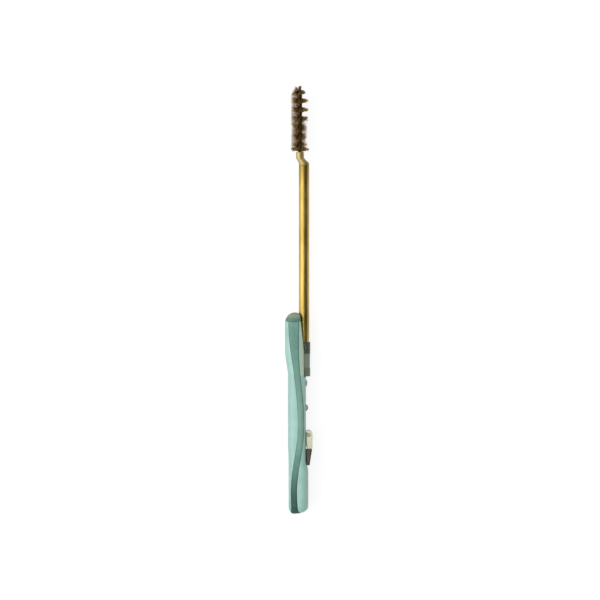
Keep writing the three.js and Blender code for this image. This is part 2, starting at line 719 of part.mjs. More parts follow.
// The link from above: a straight strip with a round eye at each end.
function pullLink() {
  const angle = Math.atan2(linkFront.y - linkRear.y, linkFront.x - linkRear.x);
  const length = linkFront.distanceTo(linkRear);
  const strip = new THREE.BoxGeometry(length, LINK_WIDTH, LINK_THICKNESS);
  const middle = linkFront.clone().add(linkRear).divideScalar(2);
  strip.rotateZ(angle).translate(middle.x, middle.y, axisZ);
  const half = LINK_THICKNESS / 2;
  const eyes = [linkFront, linkRear].map(({ x, y }) =>
    bar("z", LINK_EYE_RADIUS, axisZ - half, axisZ + half, [x, y]),
  );
  const holes = [linkFront, linkRear].map(({ x, y }) =>
    bar("z", LINK_PIN_RADIUS + FIT_GAP, axisZ - LINK_WIDTH, axisZ + LINK_WIDTH, [x, y], PIN_SIDES),
  );
  return solid(strip).add(join(eyes)).subtract(join(holes));
}

// Reach of the pad's ridges, and of the ramp under it, at a share of the pad's length from its back.
function padReach(share) {
  return THREE.MathUtils.lerp(PAD_REAR_REACH, PAD_FRONT_REACH, share);
}

function rampReach(share) {
  return padReach(share) - RIDGE_HEIGHT - PAD_THICKNESS - FIT_GAP;
}

// The carrier in the handle, with the tenon for the cap and the stem and ramp that hold the pad.
function thumbBlock() {
  const body = block(
    [blockBackX, -BLOCK_RIGHT, axisZ - BLOCK_HALF],
    [blockFrontX, BLOCK_LEFT, axisZ + BLOCK_HALF],
  );
  const tenon = block(
    [capBackX + CAP_WALL, CAP_WALL - CAP_REACH, axisZ - STEM_HALF],
    [capFrontX - CAP_WALL, FIT_GAP - BLOCK_RIGHT, axisZ + STEM_HALF],
  );
  const rearReach = rightReach(padBackX) + RUN_GAP;
  const stem = block(
    [padBackX, -rearReach - FIT_GAP, axisZ - STEM_HALF],
    [padFrontX, FIT_GAP - BLOCK_RIGHT, axisZ + STEM_HALF],
  );
  const ramp = plate(
    [
      [padBackX, -rearReach],
      [padBackX, -rampReach(0)],
      [padFrontX, -rampReach(1)],
      [padFrontX, -headReach],
    ],
    axisZ - HEAD_HALF,
    axisZ + HEAD_HALF,
  );
  const eye = LINK_EYE_RADIUS + RUN_GAP;
  const linkSlot = block(
    [linkRear.x - eye, linkRear.y - eye, axisZ - linkSlotHalf],
    [FAR, linkRear.y + eye, axisZ + linkSlotHalf],
  );
  const pinPlace = [linkRear.x, linkRear.y];
  return body
    .add(tenon)
    .add(stem)
    .add(ramp)
    .subtract(linkSlot)
    .subtract(bar("z", LINK_PIN_RADIUS + FIT_GAP, 0, HANDLE_THICKNESS, pinPlace, PIN_SIDES))
    .subtract(capScrewHole());
}

function capScrewHole() {
  const tip = axisZ - CAP_SCREW_DEPTH - FIT_GAP;
  const place = [capScrewX, capScrewY];
  return bar("z", CAP_SCREW_RADIUS + FIT_GAP, tip, HANDLE_THICKNESS, place, PIN_SIDES);
}

// The cream cap: a block with bevelled outer corners, with a pocket for the tenon and a recess for
// the head of the screw that crosses the two.
function thumbCap() {
  const outline = [
    [capBackX, -headReach],
    [capBackX, CAP_BEVEL - CAP_REACH],
    [capBackX + CAP_BEVEL, -CAP_REACH],
    [capFrontX - 2 * CAP_BEVEL, -CAP_REACH],
    [capFrontX, 2 * CAP_BEVEL - CAP_REACH],
    [capFrontX, -headReach],
  ];
  const pocket = block(
    [
      capBackX + CAP_WALL - FIT_GAP,
      CAP_WALL - CAP_REACH - FIT_GAP,
      axisZ - STEM_HALF - FIT_GAP,
    ],
    [capFrontX - CAP_WALL + FIT_GAP, 0, axisZ + STEM_HALF + FIT_GAP],
  );
  const floor = axisZ + HEAD_HALF - RUN_GAP - CAP_SCREW_HEAD_HEIGHT - FIT_GAP;
  const radius = CAP_SCREW_HEAD_RADIUS + FIT_GAP;
  const place = [capScrewX, capScrewY];
  return plate(outline, axisZ - HEAD_HALF, axisZ + HEAD_HALF)
    .subtract(pocket)
    .subtract(bar("z", radius, floor, HANDLE_THICKNESS, place, SCREW_SIDES))
    .subtract(capScrewHole());
}

function capScrew() {
  const top = axisZ + HEAD_HALF - RUN_GAP;
  const underside = top - CAP_SCREW_HEAD_HEIGHT;
  const tip = axisZ - CAP_SCREW_DEPTH;
  const place = [capScrewX, capScrewY];
  const middle = underside + CAP_SCREW_HEAD_HEIGHT / 2;
  return bar("z", CAP_SCREW_HEAD_RADIUS, underside, top, place, SCREW_SIDES)
    .add(bar("z", CAP_SCREW_RADIUS, tip, underside, place, PIN_SIDES))
    .subtract(bar("z", CAP_SCREW_RECESS_RADIUS, middle, HANDLE_THICKNESS, place, HEX_SIDES));
}

// The pad: a sloping layer on the ramp, with ridges across it.
function thumbPad() {
  const along = (share) => THREE.MathUtils.lerp(padBackX, padFrontX, share);
  const valley = (share) => RIDGE_HEIGHT - padReach(share);
  const outline = [
    [along(1), -rampReach(1) - FIT_GAP],
    [along(0), -rampReach(0) - FIT_GAP],
    [along(0), valley(0)],
  ];
  const ridge = [
    [RIDGE_VALLEY_SHARE, 0],
    [RIDGE_VALLEY_SHARE + RIDGE_SLOPE_SHARE, RIDGE_HEIGHT],
    [1 - RIDGE_SLOPE_SHARE, RIDGE_HEIGHT],
    [1, 0],
  ];
  for (let i = 0; i < PAD_RIDGES; i++) {
    for (const [step, rise] of ridge) {
      const share = (i + step) / PAD_RIDGES;
      outline.push([along(share), valley(share) - rise]);
    }
  }
  return plate(outline, axisZ - HEAD_HALF, axisZ + HEAD_HALF);
}

// A shallow bow of spring steel under the block, whose middle clicks into the floor's notches.
function detentSpring() {
  const top = axisZ - BLOCK_HALF - RUN_GAP;
  const bottom = axisZ - hollowHalf + SPRING_LIFT;
  const steps = 12;
  const upper = [];
  const lower = [];
  for (let i = 0; i <= steps; i++) {
    const share = i / steps;
    const x = springX + (share - 0.5) * SPRING_LENGTH;
    const bow = Math.sin(Math.PI * share) ** 2;
    const z = THREE.MathUtils.lerp(top - SPRING_THICKNESS, bottom, bow);
    lower.push([x, z]);
    upper.unshift([x, z + SPRING_THICKNESS]);
  }
  const shape = new THREE.Shape([...lower, ...upper].map(([x, z]) => new THREE.Vector2(x, z)));
  const strip = new THREE.ExtrudeGeometry(shape, { depth: SPRING_WIDTH, bevelEnabled: false });
  return solid(strip.rotateX(Math.PI / 2).translate(0, springY + SPRING_WIDTH / 2, 0));
}

function thumbSlide() {
  const group = new THREE.Group();
  group.add(mesh("pull_link", pullLink(), steel()));
  const pin = bar("z", LINK_PIN_RADIUS, -LINK_PIN_LENGTH / 2, LINK_PIN_LENGTH / 2, [0, 0], PIN_SIDES);
  [["link_pin_front", linkFront], ["link_pin_rear", linkRear]].forEach(([name, { x, y }]) => {
    const placed = mesh(name, pin, steel());
    placed.position.set(x, y, axisZ);
    group.add(placed);
  });
  group.add(mesh("thumb_block", thumbBlock(), darkPlastic()));
  group.add(mesh("thumb_cap", thumbCap(), creamPlastic()));
  group.add(mesh("cap_screw", capScrew(), steel()));
  group.add(mesh("thumb_pad", thumbPad(), darkRubber()));
  group.add(mesh("detent_spring", detentSpring(), steel()));
  return group;
}

// ---- Brush: drawn about its own axis, in a group that lies on it ----

function twistAt(x) {
  return (Math.PI * (x - bristlesBackX - ROW_SHIFT)) / ROW_PITCH;
}

// The core: two wires twisted together. Round the axis their common outline is widest through the
// wires' centres and narrowest in the valleys between them, and it turns steadily along X.
function coreWires(fromX, toX) {
  const half = Math.PI / CORE_SIDES; // puts a flat, and not an edge, at the bottom of each valley
  const along = Math.max(2, Math.round(((toX - fromX) / ROW_PITCH) * CORE_STEPS));
  const geometry = new THREE.CylinderGeometry(1, 1, toX - fromX, CORE_SIDES, along, false, half);
  geometry.rotateZ(-Math.PI / 2).translate((fromX + toX) / 2, 0, 0);
  const place = geometry.attributes.position;
  for (let i = 0; i < place.count; i++) {
    const x = place.getX(i);
    const share = Math.hypot(place.getY(i), place.getZ(i));
    const angle = Math.atan2(place.getZ(i), place.getY(i));
    const outward = WIRE_OFFSET * Math.abs(Math.cos(angle));
    const sideways = WIRE_OFFSET * Math.sin(angle);
    const radius = share * (outward + Math.sqrt(WIRE_RADIUS ** 2 - sideways ** 2));
    const twisted = angle + twistAt(x);
    place.setXYZ(i, x, radius * Math.cos(twisted), radius * Math.sin(twisted));
  }
  return solid(geometry);
}

// How far the bristles reach at x: full over most of the brush, less at its two ends.
function brushRadius(x) {
  const tip = THREE.MathUtils.smoothstep(bristlesFrontX - x, 0, BRUSH_TIP_TAPER);
  const back = THREE.MathUtils.smoothstep(x - bristlesBackX, 0, BRUSH_BACK_TAPER);
  return (
    BRUSH_RADIUS *
    THREE.MathUtils.lerp(BRUSH_TIP_SHARE, 1, tip) *
    THREE.MathUtils.lerp(BRUSH_BACK_SHARE, 1, back)
  );
}

// A three-sided strand, clamped deep in the valley between the two wires, that points outwards.
function strand(x, side, lean) {
  const reach = brushRadius(x);
  const length = Math.hypot(reach, lean) - STRAND_SEAT;
  const geometry = new THREE.CylinderGeometry(STRAND_TIP, STRAND_ROOT, length, STRAND_SIDES);
  geometry.translate(0, STRAND_SEAT + length / 2, 0).rotateZ(-Math.atan2(lean, reach));
  const angle = twistAt(x) + Math.PI / 2 + side * Math.PI;
  return solid(geometry.rotateX(angle).translate(x, 0, 0));
}

// One slice of the brush: its stretch of core and the strands clamped in it. The strands stand
// straight, lean ahead, stand straight and lean behind in turn, so that they fill the width of a row
// and none touches the next.
function bristleSection(index) {
  const length = BRISTLE_LENGTH / SECTION_COUNT;
  const fromX = bristlesBackX + index * length;
  const toX = fromX + length;
  const pieces = [coreWires(fromX + FIT_GAP, toX - FIT_GAP)];
  for (let i = 0; i < STRANDS_PER_SIDE; i++) {
    const x = THREE.MathUtils.lerp(fromX, toX, (i + 0.5) / STRANDS_PER_SIDE);
    const lean = Math.sin((i * Math.PI) / 2) * STRAND_LEAN;
    pieces.push(strand(x, 0, lean), strand(x, 1, lean));
  }
  return join(pieces);
}

function brush() {
  const group = new THREE.Group();
  group.position.set(0, -BRUSH_OFFSET, axisZ);
  for (let i = 0; i < SECTION_COUNT; i++) {
    group.add(mesh("bristle_section_" + (i + 1), bristleSection(i), bristleWire()));
  }
  const stem = coreWires(neckFrontX - NECK_SOCKET + RUN_GAP, bristlesBackX - FIT_GAP);
  group.add(mesh("core_stem", stem, bristleWire()));
  return group;
}

const slider = new THREE.Group();
slider.add(rod(), thumbSlide(), brush());

const wireBrush = new THREE.Group();
wireBrush.add(handle(), slider);

export default wireBrush;
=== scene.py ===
"""The looks of a spiral wire brush on a sliding brass rod in a slim teal handle.

Sizes are in millimetres and become metres when a piece is finished. +X runs along the tool to the
brush, +Z up from the floor, and the groove, the rod and the thumb slide are on the right, at -Y.
"""
import math

import bmesh
import bpy
import numpy as np
from mathutils import Color, Matrix, Vector

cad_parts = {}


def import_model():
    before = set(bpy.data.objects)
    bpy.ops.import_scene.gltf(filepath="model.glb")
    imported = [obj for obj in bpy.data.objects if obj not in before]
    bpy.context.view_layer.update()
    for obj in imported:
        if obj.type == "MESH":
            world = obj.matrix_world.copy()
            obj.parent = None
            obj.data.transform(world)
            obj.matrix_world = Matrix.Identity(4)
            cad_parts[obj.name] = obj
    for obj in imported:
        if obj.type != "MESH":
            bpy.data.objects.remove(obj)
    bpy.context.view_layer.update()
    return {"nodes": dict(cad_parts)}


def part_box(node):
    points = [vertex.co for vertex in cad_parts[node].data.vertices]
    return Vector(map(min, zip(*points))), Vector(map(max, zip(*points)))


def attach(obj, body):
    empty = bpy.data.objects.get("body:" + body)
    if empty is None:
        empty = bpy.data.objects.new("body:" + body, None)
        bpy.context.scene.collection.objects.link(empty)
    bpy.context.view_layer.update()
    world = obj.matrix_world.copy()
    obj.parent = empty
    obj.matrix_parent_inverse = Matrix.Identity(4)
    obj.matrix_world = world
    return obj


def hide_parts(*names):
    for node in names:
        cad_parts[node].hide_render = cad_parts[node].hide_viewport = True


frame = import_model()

MM = 0.001
IN_METRES = Matrix.Scale(MM, 4)
TURN = 2 * math.pi

# ---- Sizes that the solids were made from ----

FIT_GAP = 0.15  # between pieces that are fixed to each other
RUN_GAP = 0.3  # between pieces that slide past each other
HANDLE_THICKNESS = 17.5
LAND_DEPTH = 0.25  # what the flat land takes off the rounded back
SHELL_WALL = 2.4
SQUARENESS = 2.8  # of the handle's section; 2 would make it round
NOSE_ROUND = 7
TAIL_ROUND = 5
TAIL_LEAN = 0.5  # of the tail's rounding to the left, in half widths
LEFT_REACH = {"nose": 7.6, "waist": 5.6, "tail": 5.2}
RIGHT_REACH = {"nose": 5.6, "waist": 6.5, "tail": 8.1}
EDGE_BLEND = 9
LIP_EDGE = 5
LIP_NOSE_EDGE = 2.4
LIP_SLANT = 26
TAIL_CAP_LENGTH = 4
TAIL_CUT_ANGLE = math.radians(40)
GROOVE_RADIUS = 4.45
GROOVE_WALL = 1.2
TUBE_WALL = 0.5
SHOE_WALL = 0.5
SHOE_WAIST_DEPTH = 0.2
SHOE_TAIL = 6.4
SHOE_TAIL_COLLAR = 5.4
SHOE_COLLAR = 7.5
SHOE_PIN_SETBACK = 3.8
LINK_SLOT_HALF = 1.8
KEEL_LENGTH = 9.5
KEEL_HALF = 1.2
FLANGE_THICKNESS = 1.1
FLANGE_HALF = 3
STEM_HALF = 1.4
TRAVEL = 12
CAP_BEVEL = 0.9
CAP_WALL = 1.5
CAP_SCREW = {"shank": 0.6, "head_height": 0.7, "recess": 0.5}
PAD_FRONT_REACH = 10.7
PAD_REAR_REACH = 9
PAD_THICKNESS = 0.75
PAD_RIDGES = 5
RIDGE_HEIGHT = 0.25
BULKHEAD = 1.6
BLOCK_RIGHT = 3.4
INLAY_DEPTH = 1.1
BAND_HALF_WIDTH = 2.1
BAND_NOSE_EXTRA = 1.5
BAND_MEAN = -0.8  # the bands swing about this line, furthest right at the turn
BAND_SWING = 2.4
BAND_TURN = -8
BAND_RUN_FORWARD = 65
BAND_RUN_BACK = 45
BACK_BAND_FRONT = 36
BACK_BAND_RISE = 0.3
RIBS = {
    "front_finger_rib": {"behind": 4.2, "half": 3.4, "reach": 7.4},
    "rear_finger_rib": {"behind": 20.7, "half": 2.4, "reach": 8},
}
RIB_HALF_HEIGHT = 5
SCREW_COUNT = 4
SHELL_SCREW = {"shank": 1.1, "head": 1.9, "head_height": 1.6, "recess": 0.9}
BOSS_WALL = 1.1
NECK_RIM = 1
NECK_SOCKET = 3.4
NECK_TOP_RADIUS = 2.7
SECTION_COUNT = 4
WIRE_RADIUS = 0.8
WIRE_OFFSET = 0.7
ROW_PITCH = 6
ROW_SHIFT = 1.1
BRUSH_TIP_SHARE = 0.62
BRUSH_TIP_TAPER = 6
BRUSH_BACK_SHARE = 0.9
BRUSH_BACK_TAPER = 2.2

# ---- Fineness and small rounds of the finished pieces ----

FORM_SETBACK = 0.005  # how far the shells stay inside the handle's full size
CAP_SETBACK = 0.1  # and the rubber ends
ROUND_SIDES = 96
SMALL_SIDES = 48
HEX_SIDES = 6
CORNER_STEPS = 5
FILLET_SHARE = 0.45  # the most of a side that a rounded corner takes
CORE_SIDES = 16
CORE_STEPS = 150
SHARP_ANGLE = math.radians(32)
CAP_ROUND = 0.7
PAD_ROUND = 0.3
PAD_STEPS = 121
RIB_STEPS = 41
RIB_SEAT = 0.8
BAND_STEPS = 120
INLAY_ALONG = 200
INLAY_ACROSS = 33
INLAY_START = 1
INLAY_ROUND = 0.55
SEAM_HALF = 0.11
SEAM_DEPTH = 0.3
SCREW_ROUND = 0.35
SCREW_POINT_SHARE = 0.4
TUBE_ROUND = 0.15
SHOE_ROUND = 0.45
PIN_ROUND = 0.3
NECK_STEPS = 24
NECK_BACK_ROUND = 0.2
NECK_TOP_ROUND = 0.45
SOLID_BEVEL = 0.1
SOLID_BEVEL_STEPS = 2
SOLID_BEVEL_ANGLE = math.radians(40)
OVERLAP = 1  # how far a cutter reaches past what it cuts
FAR = 300
EVERYWHERE = (-FAR, FAR)

# ---- Wires and wear ----

BRISTLE_COUNT = 4000
BRISTLE_RADIUS = 0.07
BRISTLE_SIDES = 3
BRISTLE_RINGS = 3
BRISTLE_SEED = 7
BRISTLE_SEAT = 0.15
BRISTLE_BEND = 0.06
SPIRAL_SPREAD = 0.07
ROW_GATHER = 0.4
STRAY = 1.6
STRAY_LEAST = 0.25
SHORTENING = 0.35
RIGHT_WEAR = 0.1
TIP_WEAR = 0.45
WORN_LENGTH = 24
WORN_SHORTENING = 0.45
CORE_SETBACK = 3
LAST_ROW = 3.4
LAST_ROW_PLACE = 1.5
LAST_ROW_WIDTH = 0.55
LAST_ROW_WEAR = 0.25
SOIL_AND_SHADE_REACH = (1.2, 4.6)  # from the brush's middle: soil and painted shade up to the first, clean from the second
# the middle of the soil and painted shade lies this far to the left of the brush's axis
SOIL_AND_SHADE_SHIFT = 0.9
NECK_SHADE_LENGTH = 17
# how far the painted light on the groove's lips and walls fades out
GROOVE_PAINTED_LIGHT = 1.2
SHELL_TEAL = "94BDB3"
HIGHLIGHT_FLANK_EDGE = 3.4  # left of this line the tail cap is painted in the shells' paler colour, a painted highlight on its lit left side
NOSE_WORN = (1, 4)  # ahead of the shells' front end
SHOE_FADE = 1
LEFT_MARKS = ((31.5, 3.2), (11.4, 2.6), (2.7, 3.0))  # places of darker marks on the left edge, and their size
MARK_RISE = 4
DEEP_BAND = (-63, -22)
GRIP_BACK = (-36, -14)
GRIP_FRONT = (6, 26)

# ---- Light, floor and camera ----

AMBIENT = 0.64
FLOOR_HALF = 4000
FLOOR_THICKNESS = 40
FLOOR_GAP = 0.1
FLOOR_TONE = 0.25
FLOOR_GLOW = 0.8
FLAG_TOP = (95, 640)
FLAG_FOOT = (-500, 120)
FLAG_HALF = 700
FLAG_THICKNESS = 10
FLAG_TONE = 0.22
MATT = 0.9
BACKGROUND_RAYS = ("Is Camera Ray", "Is Glossy Ray", "Is Transmission Ray")
PICTURE_WIDTH = 402
LENS = 120
SENSOR = 36
VIEW_DEPTH = 20  # in metres
CAMERA_X = 75.7
CAMERA_Y = -2.5


# ---- Places that the frame gives ----

def box_mm(node):
    low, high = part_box(node)
    return low / MM, high / MM


def middle(node):
    """The middle of a node, seen from above."""
    low, high = box_mm(node)
    return (low.x + high.x) / 2, (low.y + high.y) / 2


def upright_radius(node):
    """The radius of a pin or screw that stands along Z."""
    low, high = box_mm(node)
    return (high.x - low.x) / 2


nose_x = box_mm("nose_cap")[1].x
tail_x = box_mm("tail_cap")[0].x
shell_front_x = box_mm("front_shell")[1].x + FIT_GAP
tail_cut_x = tail_x + TAIL_CAP_LENGTH
half_height = (HANDLE_THICKNESS + LAND_DEPTH) / 2
axis_z = half_height - LAND_DEPTH

tube_low, tube_high = box_mm("rod_tube")
rod_y = middle("rod_tube")[1]
rod_radius = (tube_high.y - tube_low.y) / 2
tube_bore = rod_radius - TUBE_WALL
shoe_low, shoe_high = box_mm("slide_shoe")
shoe_bore = rod_radius + FIT_GAP
shoe_radius = shoe_bore + SHOE_WALL
shoe_pin_x = shoe_high.x - SHOE_PIN_SETBACK
groove_back_x = shoe_low.x - RUN_GAP
hollow_right_y = rod_y + GROOVE_RADIUS + GROOVE_WALL
keel_back_x = shoe_low.x + SHOE_TAIL
keel_front_x = keel_back_x + KEEL_LENGTH

cap_low, cap_high = box_mm("thumb_cap")
pad_low, pad_high = box_mm("thumb_pad")
block_low = box_mm("thumb_block")[0]
bumper_low = box_mm("rear_bumper")[0]
neck_low, neck_high = box_mm("cranked_neck")
brush_low = box_mm("bristle_section_1")[0]
brush_high = box_mm("bristle_section_4")[1]
row_low, row_high = box_mm("bristle_section_2")
brush_y = middle("bristle_section_2")[1]
brush_radius_full = (row_high.z - row_low.z) / 2

front_band = {"front_x": shell_front_x, "nose_extra": BAND_NOSE_EXTRA, "upper": True}
back_band = {"front_x": BACK_BAND_FRONT, "nose_extra": 0, "upper": False}


# ---- Numbers ----

def smoothstep(value, start, end):
    """Nothing at `start`, one at `end`, which may be the lower of the two, and smooth between."""
    share = np.clip((value - start) / (end - start), 0.0, 1.0)
    return share * share * (3 - 2 * share)


def circle_angles(count):
    return np.linspace(0, TURN, count, endpoint=False)


def about_axis(half):
    """The levels that lie `half` below and above the middle plane."""
    return axis_z - half, axis_z + half


def fillet(points, radius, closed=False):
    """The outline with each corner rounded, by less where its sides are short."""
    points = [np.array(point, float) for point in points]
    count = len(points)
    rounded = []
    for i, corner in enumerate(points):
        if not closed and i in (0, count - 1):
            rounded.append(corner)
            continue
        back = points[i - 1] - corner
        ahead = points[(i + 1) % count] - corner
        shorter = min(np.linalg.norm(back), np.linalg.norm(ahead))
        reach = min(radius, shorter * FILLET_SHARE)
        start = corner + back / np.linalg.norm(back) * reach
        end = corner + ahead / np.linalg.norm(ahead) * reach
        for share in np.linspace(0, 1, CORNER_STEPS):
            lead = start + (corner - start) * share
            follow = corner + (end - corner) * share
            rounded.append(lead + (follow - lead) * share)
    return np.array(rounded)


def inset_outline(outline, distance):
    """The outline, which runs anticlockwise, moved inwards."""
    ahead = np.roll(outline, -1, axis=0) - np.roll(outline, 1, axis=0)
    ahead /= np.linalg.norm(ahead, axis=1)[:, None]
    inwards = np.stack([-ahead[:, 1], ahead[:, 0]], axis=1)
    return outline + inwards * distance


# ---- Meshes ----

def add_object(name, data):
    made = bpy.data.objects.new(name, data)
    bpy.context.scene.collection.objects.link(made)
    return made


def mesh_object(name, points, faces):
    mesh = bpy.data.meshes.new(name)
    mesh.from_pydata(points, [], faces)
    facing = bmesh.new()
    facing.from_mesh(mesh)
    bmesh.ops.recalc_face_normals(facing, faces=facing.faces)
    facing.to_mesh(mesh)
    facing.free()
    return add_object(name, mesh)


def wall(here, there, around):
    """Faces between two rings of points, each given by its first point's number."""
    return [(here + i, here + (i + 1) % around, there + (i + 1) % around, there + i) for i in range(around)]


def cover(rings, looped=False):
    """Points and faces of a closed surface over rings of points: fans close its ends, or they meet."""
    rings = np.asarray(rings, float)
    rows, around = rings.shape[:2]
    points = list(rings.reshape(-1, 3))
    faces = []
    for row in range(rows if looped else rows - 1):
        faces += wall(row * around, (row + 1) % rows * around, around)
    if not looped:
        for row in (0, rows - 1):
            points.append(rings[row].mean(axis=0))
            here = row * around
            hub = len(points) - 1
            faces += [(here + i, here + (i + 1) % around, hub) for i in range(around)]
    return points, faces


def skin(name, rings, looped=False):
    return mesh_object(name, *cover(rings, looped))


def cross_ring(x, y, z):
    """Points that lie at one place along X."""
    return np.column_stack([np.full(len(y), x), y, z])


def level_ring(outline, level):
    """An outline seen from above, at one level."""
    return np.column_stack([outline, np.full(len(outline), level)])


def turned(name, profile, centre, axis="X", sides=ROUND_SIDES, looped=False):
    """A turned piece along X or Z; the profile is a list of (place along the axis, radius)."""
    angles = circle_angles(sides)
    circle = np.column_stack([np.cos(angles), np.sin(angles)])
    rings = [level_ring(centre + radius * circle, along) for along, radius in profile]
    if axis == "X":
        rings = np.roll(rings, 1, axis=2)
    return skin(name, rings, looped)


def bar(radius, start, end, centre, axis="Z", sides=SMALL_SIDES):
    """A plain round cutter."""
    return turned("helper", [(start, radius), (end, radius)], centre, axis, sides)


def prism(outline, bottom, top, name="helper"):
    return skin(name, [level_ring(outline, level) for level in (bottom, top)])


def block(x=EVERYWHERE, y=EVERYWHERE, z=EVERYWHERE, name="helper"):
    """A box between two values on each axis, or right across where none are given."""
    return prism([(x[0], y[0]), (x[1], y[0]), (x[1], y[1]), (x[0], y[1])], *z, name)


def pillow(name, outline, bottom, top, edge):
    """An outline, anticlockwise from above, extruded upwards with rounded rims."""
    turns = np.linspace(0, math.pi / 2, CORNER_STEPS + 1)
    rises = edge * (1 - np.sin(turns))
    insets = edge * (1 - np.cos(turns))
    steps = [*zip(bottom + rises[::-1], insets[::-1]), *zip(top - rises, insets)]
    return skin(name, [level_ring(inset_outline(outline, inset), level) for level, inset in steps])


def carve(piece, *cutters, operation="DIFFERENCE"):
    """Cuts a closed mesh with others in turn, joins them to it, or keeps what they share."""
    for cutter in cutters:
        modifier = piece.modifiers.new("carve", "BOOLEAN")
        modifier.operation = operation
        modifier.solver = "MANIFOLD"
        modifier.object = cutter
        bpy.context.view_layer.update()
        result = piece.evaluated_get(bpy.context.evaluated_depsgraph_get())
        carved = bpy.data.meshes.new_from_object(result)
        piece.modifiers.clear()
        used = (piece.data, cutter.data)
        piece.data = carved
        bpy.data.objects.remove(cutter)
        for mesh in used:
            bpy.data.meshes.remove(mesh)
    return piece


def paint(piece, look):
    piece.data.materials.clear()
    piece.data.materials.append(look)


def dress(piece, body, slot, look, *nodes):
    """Puts a piece in metres, smooths it between its sharp edges and ties it to the frame."""
    piece.data.transform(IN_METRES)
    piece.data.polygons.foreach_set("use_smooth", [True] * len(piece.data.polygons))
    piece.data.set_sharp_from_angle(angle=SHARP_ANGLE)
    paint(piece, look)
    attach(piece, body)
    if nodes:
        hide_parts(*nodes)


# ---- Handle ----

def blend_reach(reach, to_nose, to_tail):
    waist = reach["waist"]
    return waist + (reach["nose"] - waist) * to_nose + (reach["tail"] - waist) * to_tail


def left_reach(x):
    to_nose = smoothstep(x, groove_back_x, groove_back_x + 2 * EDGE_BLEND)
    to_tail = smoothstep(x, cap_low.x + EDGE_BLEND / 2, cap_low.x - EDGE_BLEND)
    return blend_reach(LEFT_REACH, to_nose, to_tail)


def right_reach(x):
    to_nose = smoothstep(x, groove_back_x, groove_back_x + EDGE_BLEND)
    to_tail = smoothstep(x, block_low.x + EDGE_BLEND / 2, block_low.x - EDGE_BLEND / 2)
    return blend_reach(RIGHT_REACH, to_nose, to_tail)


def width_at(x):
    """The handle's middle from side to side, and half its width."""
    left = left_reach(x)
    right = right_reach(x)
    return (left - right) / 2, (left + right) / 2


def face_height(x, y):
    """Height of the handle's face above its middle plane. The section gets smaller in the rounded
    ends, and the rounding at the tail is drawn towards the left edge."""
    past_nose = np.clip((x - (nose_x - NOSE_ROUND)) / NOSE_ROUND, 0, 1)
    past_tail = np.clip((tail_x + TAIL_ROUND - x) / TAIL_ROUND, 0, 1)
    share = np.sqrt(1 - np.maximum(past_nose, past_tail) ** 2)
    centre, half = width_at(x)
    lean = TAIL_LEAN * (1 - share) * half * (past_tail > 0)
    across = np.abs((y - (centre + lean)) / (half * share))
    bulge = np.clip(1 - across**SQUARENESS, 0, 1) ** (1 / SQUARENESS)
    return half_height * share * bulge


def squared(wave):
    """A circle's sine or cosine, drawn out to that of a rounded square."""
    return np.sign(wave) * np.abs(wave) ** (2 / SQUARENESS)


def handle_form(inset=FORM_SETBACK, around=120, along=180, ends=18):
    """The handle's outer form, drawn in all over: rounded squares along X, with rounded ends."""
    back = tail_x + TAIL_ROUND
    front = nose_x - NOSE_ROUND
    turn = np.linspace(0, math.pi / 2, ends + 1)[:-1]
    tail_xs = back - (TAIL_ROUND - inset) * np.sin(turn[::-1])
    middle_xs = np.linspace(back, front, along)[1:-1]
    nose_xs = front + (NOSE_ROUND - inset) * np.sin(turn)
    places = np.concatenate([tail_xs, middle_xs, nose_xs])
    shares = np.concatenate([np.cos(turn[::-1]), np.ones(len(middle_xs)), np.cos(turn)])
    across = squared(np.cos(circle_angles(around)))
    up = squared(np.sin(circle_angles(around)))
    rings = []
    for x, share in zip(places, shares):
        centre, half = width_at(x)
        lean = TAIL_LEAN * (1 - share) if x < back else 0
        y = centre + (half - inset) * (lean + share * across)
        z = axis_z + share * up * (half_height - inset)
        rings.append(cross_ring(x, y, z))
    return skin("form", rings)


def tail_side(shift):
    """All that lies on the tail's side of the oblique cut, moved towards the nose."""
    side = block(y=(-shift, FAR))
    side.data.transform(Matrix.Translation((tail_cut_x, 0, 0)) @ Matrix.Rotation(TAIL_CUT_ANGLE, 4, "Z"))
    return side


def under_floor():
    return block(z=(-FAR, 0))


def band_centre(x):
    run = np.where(x > BAND_TURN, BAND_RUN_FORWARD, BAND_RUN_BACK)
    return BAND_MEAN - BAND_SWING * np.cos(math.pi * (x - BAND_TURN) / run)


def band_half(x, nose_extra):
    return BAND_HALF_WIDTH + nose_extra * smoothstep(x, groove_back_x, shell_front_x)


def band_pocket(front_x, nose_extra, upper):
    """What the inlay's pocket takes out of a shell."""
    xs = np.linspace(tail_x, front_x, BAND_STEPS)
    right = np.column_stack([xs, band_centre(xs) - band_half(xs, nose_extra)])
    left = np.column_stack([xs, band_centre(xs) + band_half(xs, nose_extra)])[::-1]
    levels = (axis_z + KEEL_HALF, FAR) if upper else (-FAR, axis_z - KEEL_HALF)
    pocket = prism(np.vstack([right, left]), *levels)
    return carve(pocket, handle_form(INLAY_DEPTH + FIT_GAP))


def screw_places():
    """The middle and the lowest and highest level of each shell screw."""
    for number in range(1, SCREW_COUNT + 1):
        node = f"shell_screw_{number}"
        low, high = box_mm(node)
        yield *middle(node), low.z, high.z


def carve_groove(piece):
    """Cuts the rod's channel, with lips that draw back towards the nose."""
    channel = bar(GROOVE_RADIUS, groove_back_x, FAR, (rod_y, axis_z), "X", ROUND_SIDES)
    mouth = [
        (groove_back_x, -FAR), (FAR, -FAR), (FAR, -LIP_NOSE_EDGE),
        (nose_x, -LIP_NOSE_EDGE), (nose_x - LIP_SLANT, -LIP_EDGE), (groove_back_x, -LIP_EDGE),
    ]
    carve(piece, channel, prism(mouth, -FAR, FAR))


